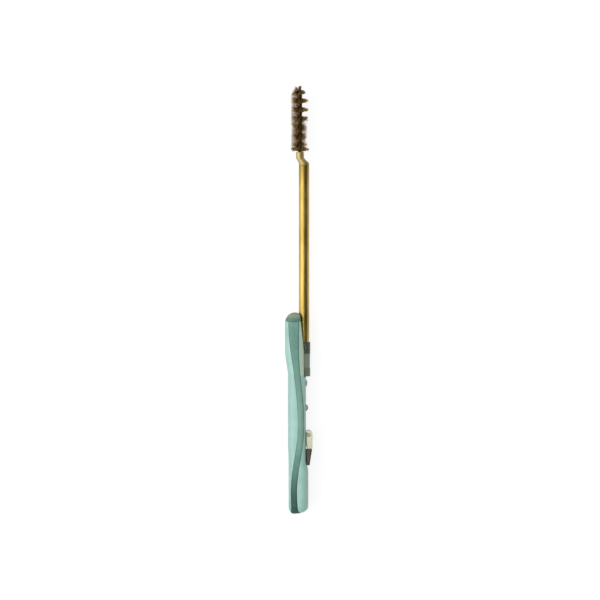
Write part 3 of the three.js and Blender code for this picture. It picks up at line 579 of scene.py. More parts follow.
def shell_hollow():
    """The room inside the handle, less the screw posts, the groove's wall and the bulkhead."""
    room = handle_form(SHELL_WALL, around=64, along=90, ends=10)
    groove_side = block(x=(groove_back_x, FAR), y=(-FAR, hollow_right_y))
    bulkhead = block(x=(bumper_low.x - BULKHEAD, bumper_low.x - FIT_GAP))
    carve(room, groove_side, bulkhead)
    boss = FIT_GAP + BOSS_WALL
    for x, y, bottom, _ in screw_places():
        foot_top = bottom + SHELL_SCREW["head_height"] + boss
        post = bar(SHELL_SCREW["shank"] + boss, 0, HANDLE_THICKNESS, (x, y))
        foot = bar(SHELL_SCREW["head"] + boss, 0, foot_top, (x, y))
        carve(room, post, foot)
    return room


def carve_slots(blank):
    """Cuts the way of the thumb slide through the right wall, and the keel's beside the groove."""
    stem_way = (block_low.x, cap_high.x - CAP_WALL + TRAVEL + RUN_GAP)
    carve(blank, block(stem_way, (-FAR, -BLOCK_RIGHT), about_axis(STEM_HALF + RUN_GAP)))
    keel_way = (groove_back_x, keel_front_x + TRAVEL + RUN_GAP)
    keel_y = (rod_y + GROOVE_RADIUS - OVERLAP, hollow_right_y + OVERLAP)
    carve(blank, block(keel_way, keel_y, about_axis(KEEL_HALF + RUN_GAP)))


def shell_blank():
    """What the two shells share: the form between the caps, hollowed, slotted and drilled."""
    blank = handle_form()
    nose_side = block(x=(shell_front_x - FIT_GAP, FAR))
    carve(blank, under_floor(), nose_side, tail_side(FIT_GAP), shell_hollow())
    carve_groove(blank)
    carve_slots(blank)
    carve(blank, band_pocket(**front_band), band_pocket(**back_band))
    carve(blank, *[finger_rib(name, rib) for name, rib in RIBS.items()])
    for x, y, bottom, top in screw_places():
        head_top = bottom + SHELL_SCREW["head_height"] + FIT_GAP
        head = bar(SHELL_SCREW["head"] + FIT_GAP, -OVERLAP, head_top, (x, y))
        shank = bar(SHELL_SCREW["shank"] + FIT_GAP, 0, top + FIT_GAP, (x, y))
        carve(blank, head, shank)
    return blank


def shells():
    """The two halves, with a fine step at the line where they meet."""
    step = block(z=about_axis(SEAM_HALF))
    carve(step, handle_form(SEAM_DEPTH))
    front = shell_blank()
    carve(front, step)
    front.name = "front_shell_fine"
    back = add_object("back_shell_fine", front.data.copy())
    carve(front, block(z=(-FAR, axis_z + FIT_GAP / 2)))
    carve(back, block(z=(axis_z - FIT_GAP / 2, FAR)))
    return front, back


def inlay(name, front_x, nose_extra, upper):
    """A soft strip that fills its pocket, level with the shell and rounded at its edges."""
    end_x = front_x - FIT_GAP
    strip_xs = np.linspace(tail_x + INLAY_START, end_x - INLAY_ROUND, INLAY_ALONG)
    tip_xs = end_x - np.linspace(0, INLAY_ROUND, CORNER_STEPS, endpoint=False)[::-1]
    shares = np.sin(np.linspace(-math.pi / 2, math.pi / 2, INLAY_ACROSS))
    rings = []
    for x in np.concatenate([strip_xs, tip_xs]):
        half = band_half(x, nose_extra) - FIT_GAP
        y = band_centre(x) + shares * half
        edge = np.minimum(half - np.abs(y - band_centre(x)), end_x - x)
        lack = np.clip(1 - edge / INLAY_ROUND, 0, 1)
        drop_off = INLAY_ROUND * (1 - np.sqrt(1 - lack * lack))
        rise = face_height(x, y)
        if upper:
            top = axis_z + rise - drop_off
            base = axis_z + rise - INLAY_DEPTH
        else:
            top = np.maximum(axis_z - rise + drop_off, BACK_BAND_RISE)
            base = axis_z - rise + INLAY_DEPTH
        rings.append(np.vstack([cross_ring(x, y, top), cross_ring(x, y, base)[::-1]]))
    return carve(skin(name, rings), tail_side(FIT_GAP))


def nose_cap():
    cap = handle_form(CAP_SETBACK)
    carve(cap, block(x=(-FAR, shell_front_x)))
    carve_groove(cap)
    carve(cap, under_floor())
    cap.name = "nose_cap_fine"
    return cap


def tail_cap():
    cap = carve(handle_form(CAP_SETBACK), tail_side(0), operation="INTERSECT")
    carve(cap, under_floor())
    cap.name = "tail_cap_fine"
    return cap


def finger_rib(name, rib):
    """A lens that stands out of the right edge, thins out to nothing at its top and bottom, and ends
    at its seat in the shells."""
    root = RIGHT_REACH["waist"] - SHELL_WALL / 2
    rise = rib["reach"] - root
    radius = (rib["half"] ** 2 + rise**2) / (2 * rise)
    limit = math.asin(rib["half"] / radius)
    angles = np.linspace(-limit, limit, RIB_STEPS)
    arc = np.column_stack([radius * np.sin(angles), radius - rise - radius * np.cos(angles)])
    arc[:, 1] = np.minimum(arc[:, 1], 0)
    centre = np.array([groove_back_x - rib["behind"], -root])
    rings = []
    for level in np.linspace(-1, 1, RIB_STEPS)[1:-1]:
        size = (1 - abs(level) ** SQUARENESS) ** (1 / SQUARENESS)
        rings.append(level_ring(centre + size * arc, axis_z + level * RIB_HALF_HEIGHT))
    return carve(skin(name, rings), handle_form(RIB_SEAT))


def screw(name, low_z, high_z, centre, shank, head, head_height, recess):
    """A screw with its head down, its edges rounded and a six-sided recess in the head."""
    profile = [
        (low_z, 0), (low_z, head), (low_z + head_height, head), (low_z + head_height, shank),
        (high_z - shank, shank), (high_z, shank * SCREW_POINT_SHARE), (high_z, 0),
    ]
    made = turned(name, fillet(profile, SCREW_ROUND), centre, "Z", SMALL_SIDES)
    hollow = bar(recess, low_z - OVERLAP, low_z + head_height / 2, centre, sides=HEX_SIDES)
    return carve(made, hollow)


# ---- Rod and shoe ----

def shoe_pin_hole():
    return bar(upright_radius("shoe_pin") + FIT_GAP, 0, HANDLE_THICKNESS, (shoe_pin_x, rod_y))


def rod_tube():
    profile = [
        (tube_low.x, tube_bore), (tube_high.x, tube_bore),
        (tube_high.x, rod_radius), (tube_low.x, rod_radius),
    ]
    tube = turned("rod_tube_fine", fillet(profile, TUBE_ROUND, closed=True), (rod_y, axis_z), looped=True)
    return carve(tube, shoe_pin_hole())


def shoe_sleeve():
    """A turned sleeve with a dark collar at each end of a slimmer waist."""
    waist = shoe_radius - SHOE_WAIST_DEPTH
    collar_back = shoe_low.x + SHOE_TAIL_COLLAR
    collar_front = shoe_high.x - SHOE_COLLAR
    profile = [
        (shoe_low.x, 0), (shoe_low.x, shoe_radius), (collar_back, shoe_radius),
        (collar_back + SHOE_WAIST_DEPTH, waist), (collar_front - SHOE_WAIST_DEPTH, waist),
        (collar_front, shoe_radius), (shoe_high.x, shoe_radius), (shoe_high.x, shoe_bore),
        (keel_back_x, shoe_bore), (keel_back_x, 0),
    ]
    return turned("slide_shoe_fine", fillet(profile, SHOE_ROUND), (rod_y, axis_z))


def slide_shoe():
    """The sleeve with the keel that guides it, slotted for the link and drilled for both pins."""
    shoe = shoe_sleeve()
    keel_run = (keel_back_x, keel_front_x)
    flange_y = hollow_right_y + RUN_GAP
    keel_y = (rod_y + shoe_bore + SHOE_WALL / 2, flange_y + SHOE_WALL)
    keel = block(keel_run, keel_y, about_axis(KEEL_HALF))
    flange = block(keel_run, (flange_y, flange_y + FLANGE_THICKNESS), about_axis(FLANGE_HALF))
    carve(shoe, keel, flange, operation="UNION")
    pin_x, pin_y = middle("link_pin_front")
    link_low, link_high = box_mm("pull_link")
    link_slot = block(
        x=(shoe_low.x - OVERLAP, link_high.x + RUN_GAP),
        y=(pin_y - LINK_SLOT_HALF, rod_y + 2 * shoe_radius),
        z=(link_low.z - RUN_GAP, link_high.z + RUN_GAP),
    )
    hole_radius = upright_radius("link_pin_front") + FIT_GAP
    link_hole = bar(hole_radius, 0, HANDLE_THICKNESS, (pin_x, pin_y))
    return carve(shoe, link_slot, link_hole, shoe_pin_hole())


def shoe_pin():
    low, high = box_mm("shoe_pin")
    radius = upright_radius("shoe_pin")
    profile = fillet([(low.z, 0), (low.z, radius), (high.z, radius), (high.z, 0)], PIN_ROUND)
    return turned("shoe_pin_fine", profile, (shoe_pin_x, rod_y), "Z", SMALL_SIDES)


def cranked_neck():
    """A turned piece, sheared sideways so that its top lies on the brush's axis."""
    rim_x = tube_high.x + FIT_GAP
    shoulder_x = rim_x + NECK_RIM
    socket_x = neck_high.x - NECK_SOCKET
    spigot = tube_bore - FIT_GAP
    socket = WIRE_RADIUS + WIRE_OFFSET + FIT_GAP
    rim = [(rim_x, spigot), (rim_x, rod_radius), (shoulder_x, rod_radius)]
    shares = np.linspace(0, 1, NECK_STEPS)
    shoulder_xs = shoulder_x + (socket_x - shoulder_x) * shares
    shoulder_radii = rod_radius + (NECK_TOP_RADIUS - rod_radius) * smoothstep(shares, 0, 1)
    top = [
        (neck_high.x - NECK_RIM, NECK_TOP_RADIUS), (neck_high.x, NECK_TOP_RADIUS),
        (neck_high.x, socket), (socket_x, socket),
    ]
    profile = [
        (neck_low.x, 0),
        (neck_low.x, spigot),
        *fillet(rim, NECK_BACK_ROUND),
        *zip(shoulder_xs, shoulder_radii),
        *fillet(top, NECK_TOP_ROUND),
        (socket_x, 0),
    ]
    neck = turned("cranked_neck_fine", profile, (rod_y, axis_z))
    for vertex in neck.data.vertices:
        vertex.co.y += smoothstep(vertex.co.x, shoulder_x, socket_x) * (brush_y - rod_y)
    return neck


# ---- Thumb slide ----

def thumb_cap():
    """A rounded block on the tenon, its outer corners cut back, the front one more."""
    outline = [
        (cap_low.x, cap_high.y), (cap_low.x, cap_low.y + CAP_BEVEL), (cap_low.x + CAP_BEVEL, cap_low.y),
        (cap_high.x - 2 * CAP_BEVEL, cap_low.y), (cap_high.x, cap_low.y + 2 * CAP_BEVEL),
        (cap_high.x, cap_high.y),
    ]
    outline = fillet(outline, CAP_ROUND, closed=True)
    cap = pillow("thumb_cap_fine", outline, cap_low.z, cap_high.z, CAP_ROUND)
    side = CAP_WALL - FIT_GAP
    tenon_run = (cap_low.x + side, cap_high.x - side)
    tenon_pocket = block(tenon_run, (cap_low.y + side, 0), about_axis(STEM_HALF + FIT_GAP))
    low, high = box_mm("cap_screw")
    centre = middle("cap_screw")
    head_bottom = high.z - CAP_SCREW["head_height"] - FIT_GAP
    head = bar(upright_radius("cap_screw") + FIT_GAP, head_bottom, FAR, centre)
    shank = bar(CAP_SCREW["shank"] + FIT_GAP, low.z - FIT_GAP, FAR, centre)
    return carve(cap, tenon_pocket, head, shank)


def thumb_pad():
    """A sloping rubber layer with rounded ridges across it."""
    xs = np.linspace(pad_low.x, pad_high.x, PAD_STEPS)
    shares = (xs - pad_low.x) / (pad_high.x - pad_low.x)
    reach = PAD_REAR_REACH + (PAD_FRONT_REACH - PAD_REAR_REACH) * shares
    ripple = (1 - np.cos(TURN * PAD_RIDGES * shares)) / 2
    outer = np.column_stack([xs, RIDGE_HEIGHT * (1 - ripple) - reach])
    inner = np.column_stack([xs, RIDGE_HEIGHT + PAD_THICKNESS - reach])[::-1]
    return pillow("thumb_pad_fine", np.vstack([outer, inner]), pad_low.z, pad_high.z, PAD_ROUND)


def cap_screw():
    """The cap's screw, head up: made head down and turned over."""
    low, high = box_mm("cap_screw")
    x, y = middle("cap_screw")
    head = upright_radius("cap_screw")
    made = screw("cap_screw_fine", -high.z, -low.z, (x, -y), head=head, **CAP_SCREW)
    made.data.transform(Matrix.Rotation(math.pi, 4, "X"))
    return made


# ---- Brush ----

def brush_reach(x):
    """The brush's radius, which is less at its tip and a little less next to the neck."""
    tip = smoothstep(brush_high.x - x, 0, BRUSH_TIP_TAPER)
    back = smoothstep(x - brush_low.x, 0, BRUSH_BACK_TAPER)
    full = brush_radius_full * (BRUSH_TIP_SHARE + (1 - BRUSH_TIP_SHARE) * tip)
    return full * (BRUSH_BACK_SHARE + (1 - BRUSH_BACK_SHARE) * back)


def twist_at(x):
    return math.pi * (x - brush_low.x - ROW_SHIFT) / ROW_PITCH


def core_wires():
    """Two wires twisted about the brush's axis."""
    xs = np.linspace(neck_high.x - NECK_SOCKET + RUN_GAP, brush_high.x - CORE_SETBACK, CORE_STEPS)
    angles = circle_angles(CORE_SIDES)
    slope = math.pi / ROW_PITCH * WIRE_OFFSET
    points = []
    faces = []
    for side in (0, math.pi):
        rings = []
        for x in xs:
            twist = twist_at(x) + side
            outward = np.array([0, math.cos(twist), math.sin(twist)])
            sideways = np.array([0, -math.sin(twist), math.cos(twist)])
            ahead = np.array([1, 0, 0]) + sideways * slope
            ahead /= np.linalg.norm(ahead)
            across = np.cross(ahead, outward)
            centre = np.array([x, brush_y, axis_z]) + outward * WIRE_OFFSET
            ring = np.outer(np.cos(angles), outward) + np.outer(np.sin(angles), across)
            rings.append(centre + WIRE_RADIUS * ring)
        wire_points, wire_faces = cover(rings)
        faces += [tuple(len(points) + i for i in face) for face in wire_faces]
        points += wire_points
    return mesh_object("twisted_core", points, faces)


def bristle_roots(rng, index, count):
    """Where a section's wires leave the core, and at what angle: in a two-start spiral, but all round
    in the last row, next to the neck."""
    length = (brush_high.x - brush_low.x) / SECTION_COUNT
    start = brush_low.x + index * length
    root_x = start + length * (np.arange(count) + rng.random(count)) / count
    side = np.arange(count) % 2 * math.pi
    angle = twist_at(root_x) + math.pi / 2 + side + rng.normal(0, SPIRAL_SPREAD, count)
    last_row = root_x < brush_low.x + LAST_ROW
    return root_x, np.where(last_row, rng.random(count) * TURN, angle), last_row


def bristle_tips(rng, root_x, angle, worn, last_row):
    """Where along the tool the wires end: leant into rows on the right of the upper half, spread on
    the left and over the worn lower half, and pressed together in the last row."""
    count = len(root_x)
    left = np.clip(np.cos(angle), 0, 1)
    right = np.clip(-np.cos(angle), 0, 1)
    from_row = (angle % TURN - math.pi) * ROW_PITCH / math.pi
    gather = np.where(right > 0, ROW_GATHER * from_row * (1 - worn), 0)
    splay = STRAY * (STRAY_LEAST + left * (1 + worn) + right * worn)
    tip_x = root_x - gather + rng.normal(0, 1, count) * splay
    pressed_x = brush_low.x + LAST_ROW_PLACE + rng.normal(0, LAST_ROW_WIDTH, count)
    tip_x = np.where(last_row, pressed_x, tip_x)
    return np.clip(tip_x, brush_low.x + BRISTLE_RADIUS, brush_high.x - BRISTLE_RADIUS)


def bristle_wear(rng, root_x, angle, worn, last_row):
    """The share of their full length that the wires still have."""
    count = len(root_x)
    right = np.clip(-np.cos(angle), 0, 1)
    at_tip = smoothstep(root_x, brush_high.x - ROW_PITCH, brush_high.x - ROW_PITCH / 2)
    right_wear = RIGHT_WEAR + (TIP_WEAR - RIGHT_WEAR) * at_tip + WORN_SHORTENING * rng.random(count) * worn
    right_wear = np.where(last_row, 0, right_wear)
    shortening = np.where(last_row, SHORTENING * LAST_ROW_WEAR, SHORTENING)
    return (1 - shortening * rng.random(count) ** 2) * (1 - right_wear * right)


def wire_bundle(name, centres, angle, spin):
    """Thin closed wires along rows of centres, each section turned by its wire's own spin."""
    count, rings = centres.shape[:2]
    around = np.stack([np.zeros(count), -np.sin(angle), np.cos(angle)], axis=1)
    along = np.array([1.0, 0.0, 0.0])
    points = np.zeros((count, rings, BRISTLE_SIDES, 3))
    for corner in range(BRISTLE_SIDES):
        turn = spin + TURN * corner / BRISTLE_SIDES
        offset = np.cos(turn)[:, None] * around + np.sin(turn)[:, None] * along
        points[:, :, corner, :] = centres + BRISTLE_RADIUS * offset[:, None, :]
    faces = []
    per_wire = rings * BRISTLE_SIDES
    for base in range(0, count * per_wire, per_wire):
        last = base + per_wire - BRISTLE_SIDES
        for here in range(base, last, BRISTLE_SIDES):
            faces += wall(here, here + BRISTLE_SIDES, BRISTLE_SIDES)
        faces.append(tuple(range(base, base + BRISTLE_SIDES))[::-1])
        faces.append(tuple(range(last, last + BRISTLE_SIDES)))
    return mesh_object(name, points.reshape(-1, 3), faces)


def bristles(index, count):
    """One section's fine wires, which leave the core and bend a little."""
    rng = np.random.default_rng(BRISTLE_SEED + index)
    root_x, angle, last_row = bristle_roots(rng, index, count)
    worn_end = brush_low.x + WORN_LENGTH
    worn = 1 - smoothstep(root_x, worn_end - ROW_PITCH, worn_end)
    tip_x = bristle_tips(rng, root_x, angle, worn, last_row)
    wear = bristle_wear(rng, root_x, angle, worn, last_row)
    root_x = np.clip(root_x, brush_low.x + BRISTLE_RADIUS, brush_high.x - CORE_SETBACK - WIRE_RADIUS)
    reach = brush_reach(tip_x) * wear - BRISTLE_RADIUS
    bend = rng.normal(0, BRISTLE_BEND, count)
    centres = np.zeros((count, BRISTLE_RINGS, 3))
    for i, step in enumerate(np.linspace(0, 1, BRISTLE_RINGS)):
        radial = BRISTLE_SEAT + (reach - BRISTLE_SEAT) * step
        turn = angle + bend * step * step
        centres[:, i, 0] = root_x + (tip_x - root_x) * step * step
        centres[:, i, 1] = brush_y + radial * np.cos(turn)
        centres[:, i, 2] = axis_z + radial * np.sin(turn)
    spin = rng.random(count) * TURN
    return wire_bundle(f"bristles_{index + 1}", centres, angle, spin)


# ---- Materials ----

MIX_FIRST = 6  # the mix node's colour sockets, which share their names with its others
MIX_SECOND = 7
MIX_RESULT = 2


def srgb(code):
    """A colour written as RRGGBB, as linear values."""
    parts = [value / 255 for value in bytes.fromhex(code)]
    return (*Color(parts).from_srgb_to_scene_linear(), 1)


def grey(tone):
    return (tone, tone, tone, 1)


def feed(tree, node, inputs):
    """Sets a node's inputs, each to a value or from another node's output."""
    for socket, value in inputs.items():
        if isinstance(value, bpy.types.NodeSocket):
            tree.links.new(value, node.inputs[socket])
        else:
            node.inputs[socket].default_value = value


def add_node(tree, kind, inputs, output=0, **settings):
    """Adds a node and gives one of its outputs."""
    made = tree.nodes.new("ShaderNode" + kind)
    for name, value in settings.items():
        setattr(made, name, value)
    feed(tree, made, inputs)
    return made.outputs[output]


class Look:
    """One material's node tree, with short ways to add what all the finishes are made of."""

    def __init__(self, name, metallic=0.0, coat=0.0, specular=0.5):
        self.material = bpy.data.materials.new(name)
        self.material.use_nodes = True
        self.tree = self.material.node_tree
        self.place = self.add("TexCoord", {}, "Object")
        self.relief = {}
        self.set({"Metallic": metallic, "Coat Weight": coat, "Specular IOR Level": specular})

    def add(self, kind, inputs, output=0, **settings):
        return add_node(self.tree, kind, inputs, output, **settings)

    def set(self, inputs):
        """Feeds the shader itself."""
        feed(self.tree, self.tree.nodes["Principled BSDF"], inputs)

    def math(self, operation, first, second):
        return self.add("Math", {0: first, 1: second}, operation=operation)

    def times(self, first, second):
        return self.math("MULTIPLY", first, second)

    def noise(self, size, detail, stretch):
        """Cloudy values with blobs of about `size` mm, longer along X when stretched."""
        scale = 1 / (size * MM)
        scales = {"Vector": self.place, "Scale": (scale / stretch, scale, scale)}
        place = self.add("Mapping", scales, "Vector")
        return self.add("TexNoise", {"Vector": place, "Scale": 1.0, "Detail": detail}, "Fac")

    def ramp(self, value, low, high, start=0.0, end=1.0):
        """`start` up to `low`, `end` from `high` on, and a smooth slope between."""
        inputs = {"Value": value, "From Min": low, "From Max": high, "To Min": start, "To Max": end}
        return self.add("MapRange", inputs, "Result", interpolation_type="SMOOTHSTEP")

    def sweep(self, axis, low, high, start=1.0, end=0.0):
        """A ramp along X or Y, between places given in mm."""
        along = self.add("SeparateXYZ", {0: self.place}, axis)
        return self.ramp(along, low * MM, high * MM, start, end)

    def distance(self, place, point):
        """How far a place is, in metres, from a point given in mm."""
        inputs = {0: place, 1: [value * MM for value in point]}
        return self.add("VectorMath", inputs, "Value", operation="DISTANCE")

    def near(self, point, reach):
        """One at a point, falling to nothing at `reach` mm from it."""
        return self.ramp(self.distance(self.place, point), 0.0, reach * MM, 1.0, 0.0)

    def from_line(self, y, z):
        """Distance, in metres, from a line along X at a place given in mm."""
        inputs = {0: self.place, 1: (0, 1, 1)}
        flat = self.add("VectorMath", inputs, "Vector", operation="MULTIPLY")
        return self.distance(flat, (0, y, z))

    def edges(self, low=0.53, high=0.6):
        """One along outward edges, where use rubs the surface."""
        return self.ramp(self.add("NewGeometry", {}, "Pointiness"), low, high)

    def patches(self, size, detail=4, low=0.35, high=0.65, stretch=1):
        """Patches of one on nothing, about `size` mm across, and fewer when `low` is more."""
        return self.ramp(self.noise(size, detail, stretch), low, high)

    def drift(self, size, least, most, detail=4, stretch=1):
        """A roughness that drifts between two values."""
        return self.ramp(self.noise(size, detail, stretch), 0.3, 0.7, least, most)

    def mix(self, share, first, second):
        inputs = {"Factor": share, MIX_FIRST: first, MIX_SECOND: second}
        return self.add("Mix", inputs, MIX_RESULT, data_type="RGBA")

    def mottle(self, size, first, second, **texture):
        """A colour that drifts between two."""
        return self.mix(self.patches(size, **texture), srgb(first), srgb(second))

    def tint(self, color, share, code, strength=1.0):
        """The colour, turned into another by `strength` where the share is one."""
        return self.mix(self.times(share, strength), color, srgb(code))

    def grain(self, size, depth, detail=3, stretch=1):
        """Adds relief `depth` mm deep to what is there already."""
        height = self.noise(size, detail, stretch)
        inputs = {"Strength": 1.0, "Distance": depth * MM, "Height": height, **self.relief}
        self.relief = {"Normal": self.add("Bump", inputs, "Normal")}

    def done(self, color, roughness):
        self.set({"Base Color": color, "Roughness": roughness, **self.relief})
        return self.material


def teal_plastic():
    """The shells: teal, paler along edges, with darker marks at a few places on the left edge, and painted
    paler and warmer on the lips and walls of the rod's groove, as painted light that lifts its shade."""
    look = Look("teal_plastic")
    color = look.mottle(9, SHELL_TEAL, "9DC5BB")
    # painted light: the groove's lips and walls are painted paler and warmer, to lift their shade and what
    # the rod mirrors of them
    by_rod = look.sweep("Y", -LIP_EDGE, GROOVE_PAINTED_LIGHT - LIP_NOSE_EDGE)
    in_groove = look.sweep("X", groove_back_x, groove_back_x + 2 * GROOVE_PAINTED_LIGHT, 0, 1)
    color = look.tint(color, look.times(by_rod, in_groove), "CFD3AC", 0.65)
    color = look.tint(color, look.edges(), "BFDCD4", 0.5)
    specks = look.patches(0.6, detail=2, low=0.7, high=0.78)
    color = look.tint(color, specks, "6F938A", 0.35)
    patchy = look.patches(1.6, high=0.6)
    # darker marks at three places on the left edge
    for x, reach in LEFT_MARKS:
        mark = look.near((x, float(left_reach(x)), axis_z + MARK_RISE), reach)
        color = look.tint(color, look.times(mark, patchy), "6E9288", 0.45)
    look.grain(0.45, depth=0.012, detail=2)
    look.grain(14, depth=0.05, detail=2)
    scratches = look.patches(0.5, detail=5, low=0.62, high=0.7, stretch=14)
    rough = look.math("ADD", look.drift(5, 0.32, 0.44), look.times(scratches, 0.12))
    return look.done(color, rough)


def soft_teal():
    """The inlays: mid teal, paler where the hand rubs them, and dark green towards the tail."""
    look = Look("soft_teal", specular=0.35)
    gripped = look.times(look.sweep("X", *GRIP_BACK, 0, 1), look.sweep("X", *GRIP_FRONT))
    color = look.mix(gripped, look.mottle(5, "628B7E", "6C9588"), look.mottle(5, "769E8E", "80A797"))
    color = look.tint(color, look.sweep("X", *DEEP_BAND), "2C4E47")
    color = look.tint(color, look.edges(0.52, 0.58), "86A99E", 0.4)
    look.grain(0.35, depth=0.03)
    return look.done(color, look.drift(3, 0.6, 0.74))


def rubber(name, dark, light, worn, highlight_flank=None, tip=None):
    """Soft rubber. A highlight_flank is a paler colour painted on the left, past the line of the inlay's
    edge, as a painted highlight on the lit side; a tip is the colour that the nose has worn to."""
    look = Look(name, specular=0.35)
    color = look.mottle(4, dark, light)
    if tip:
        worn_xs = [shell_front_x + ahead for ahead in NOSE_WORN]
        color = look.tint(color, look.sweep("X", *worn_xs, 0, 1), tip)
    # painted highlight: the left side is painted in a paler colour where the light falls
    if highlight_flank:
        color = look.tint(color, look.sweep("Y", HIGHLIGHT_FLANK_EDGE, HIGHLIGHT_FLANK_EDGE + FIT_GAP, 0, 1), highlight_flank)
    color = look.tint(color, look.patches(0.9, low=0.6, high=0.75), worn, 0.25)
    color = look.tint(color, look.edges(0.52, 0.6), worn, 0.5)
    look.grain(0.4, depth=0.035)
    return look.done(color, look.drift(2, 0.58, 0.76))


def shoe_plastic():
    """The shoe: near black-green in front, with a paler waist and a tail between the two."""
    look = Look("shoe_plastic")
    tail_end = shoe_low.x + SHOE_TAIL_COLLAR
    front_start = shoe_high.x - SHOE_COLLAR
    color = look.mottle(3, "626F5A", "6C7963")
    color = look.tint(color, look.sweep("X", tail_end, tail_end + SHOE_FADE, 0, 1), "788672")
    at_front = look.sweep("X", front_start - SHOE_FADE, front_start, 0, 1)
    color = look.mix(at_front, color, look.mottle(3, "3D4435", "4A5240"))
    color = look.tint(color, look.edges(), "7F8B78", 0.5)
    look.grain(0.4, depth=0.015, detail=2)
    look.grain(0.3, depth=0.02, stretch=20)
    return look.done(color, look.drift(3, 0.38, 0.55))


def hard_plastic(name, dark, light, worn, rough=0.38):
    look = Look(name)
    color = look.mottle(4, dark, light)
    soil = look.patches(1.2, detail=5, low=0.62, high=0.74)
    color = look.tint(color, soil, worn, 0.3)
    look.grain(0.4, depth=0.012, detail=2)
    return look.done(color, look.drift(2.5, rough, rough + 0.12))


def brass(name, bright, dull, spot, rough, end=None):
    """Drawn brass: fine lines along it, slow tarnish and a few darker spots. The tube's front end, next to
    the neck and the brush, is painted darker, as painted shade."""
    look = Look(name, metallic=1.0, coat=0.3)
    look.set({"Coat Roughness": 0.12})
    color = look.mottle(7, bright, dull, detail=5, low=0.38, high=0.68, stretch=5)
    # painted shade: the tube darkens over its last stretch towards the neck and the brush
    if end:
        used = look.sweep("X", tube_high.x - NECK_SHADE_LENGTH, tube_high.x, 0, 1)
        color = look.tint(color, used, end, 0.75)
    spots = look.patches(1.3, detail=3, low=0.68, high=0.76)
    color = look.tint(color, spots, spot, 0.6)
    look.grain(0.18, depth=0.012, detail=4, stretch=60)
    return look.done(color, look.drift(2.2, rough, rough + 0.14, detail=5, stretch=4))


def steel(name, bright, dull, rough):
    look = Look(name, metallic=1.0)
    color = look.mottle(1.5, bright, dull, detail=5)
    rust = look.patches(0.5, low=0.66, high=0.76)
    color = look.tint(color, rust, "5B4A38", 0.5)
    look.grain(0.15, depth=0.01)
    return look.done(color, look.drift(1, rough, rough + 0.15))


def wire(name, dark, light, soil):
    """Bronze wire that differs from strand to strand. It is darker towards the core, partly soil and partly
    painted shade of the dense brush, and on the right and next to the neck less so."""
    look = Look(name, metallic=0.9, specular=0.15)
    color = look.mottle(0.5, dark, light, detail=2)
    # soil and painted shade: darker towards the core, around a line moved to the left of the brush's axis
    clean = look.ramp(look.from_line(brush_y + SOIL_AND_SHADE_SHIFT, axis_z), *[reach * MM for reach in SOIL_AND_SHADE_REACH])
    by_neck = look.sweep("X", brush_low.x, brush_low.x + LAST_ROW, 0.7)
    color = look.mix(look.math("MAXIMUM", clean, by_neck), srgb(soil), color)
    look.grain(0.12, depth=0.01, detail=2)
    return look.done(color, look.drift(0.8, 0.38, 0.52, detail=3))


# ---- Stage ----

def background_share(tree):
    """One for rays that show the background: those from the camera, off metal and through glass."""
    path = tree.nodes.new("ShaderNodeLightPath")
    share = 0.0
    for kind in BACKGROUND_RAYS:
        share = add_node(tree, "Math", {0: share, 1: path.outputs[kind]}, operation="MAXIMUM")
    return share


def floor():
    """Pale and plain; it shows nearly white and keeps a faint shadow of the tool."""
    edges = (-FLOOR_HALF, FLOOR_HALF)
    slab = block(edges, edges, (-FLOOR_THICKNESS, -FLOOR_GAP), name="floor")
    slab.data.transform(IN_METRES)
    look = Look("floor", specular=0.0)
    glow = look.times(background_share(look.tree), FLOOR_GLOW)
    look.set({"Emission Color": grey(1), "Emission Strength": glow})
    paint(slab, look.done(grey(FLOOR_TONE), MATT))


def flag():
    """A grey board on the groove's side of the tool, which only mirrors in shiny pieces."""
    back = [(y - FLAG_THICKNESS, z) for y, z in (FLAG_FOOT, FLAG_TOP)]
    outline = [FLAG_TOP, FLAG_FOOT, *back]
    board = skin("flag", [[(x, y, z) for y, z in outline] for x in (-FLAG_HALF, FLAG_HALF)])
    board.data.transform(IN_METRES)
    paint(board, Look("flag", specular=0.0).done(grey(FLAG_TONE), MATT))
    board.visible_camera = False
    board.visible_diffuse = False
    board.visible_shadow = False


def area_light(name, place, size, power):
    """A soft lamp, placed in metres, that points at the middle of the tool."""
    data = bpy.data.lights.new(name, "AREA")
    data.shape = "RECTANGLE"
    data.size, data.size_y = size
    data.energy = power
    lamp = add_object(name, data)
    lamp.location = place
    target = Vector((CAMERA_X * MM, 0, 0))
    lamp.rotation_euler = (target - Vector(place)).to_track_quat("-Z", "Y").to_euler()
    lamp.visible_camera = False


def world():
    """An even light from all round, before a white background."""
    made = bpy.data.worlds.new("studio")
    bpy.context.scene.world = made
    made.use_nodes = True
    tree = made.node_tree
    ambient = tree.nodes["Background"]
    feed(tree, ambient, {"Color": grey(1), "Strength": AMBIENT})
    white = add_node(tree, "Background", {"Color": grey(1)})
    shares = {0: background_share(tree), 1: ambient.outputs[0], 2: white}
    feed(tree, tree.nodes["World Output"], {"Surface": add_node(tree, "MixShader", shares)})


def camera():
    """Straight down on the tool, with the brush at the picture's top and the slide on its right."""
    data = bpy.data.cameras.new("camera")
    data.lens = LENS
    data.sensor_width = SENSOR
    data.clip_end = VIEW_DEPTH
    made = add_object("camera", data)
    distance = PICTURE_WIDTH * LENS / SENSOR
    made.location = (CAMERA_X * MM, CAMERA_Y * MM, (axis_z + distance) * MM)
    made.rotation_euler = (0, 0, -math.pi / 2)
    bpy.context.scene.camera = made


# ---- Everything in place ----

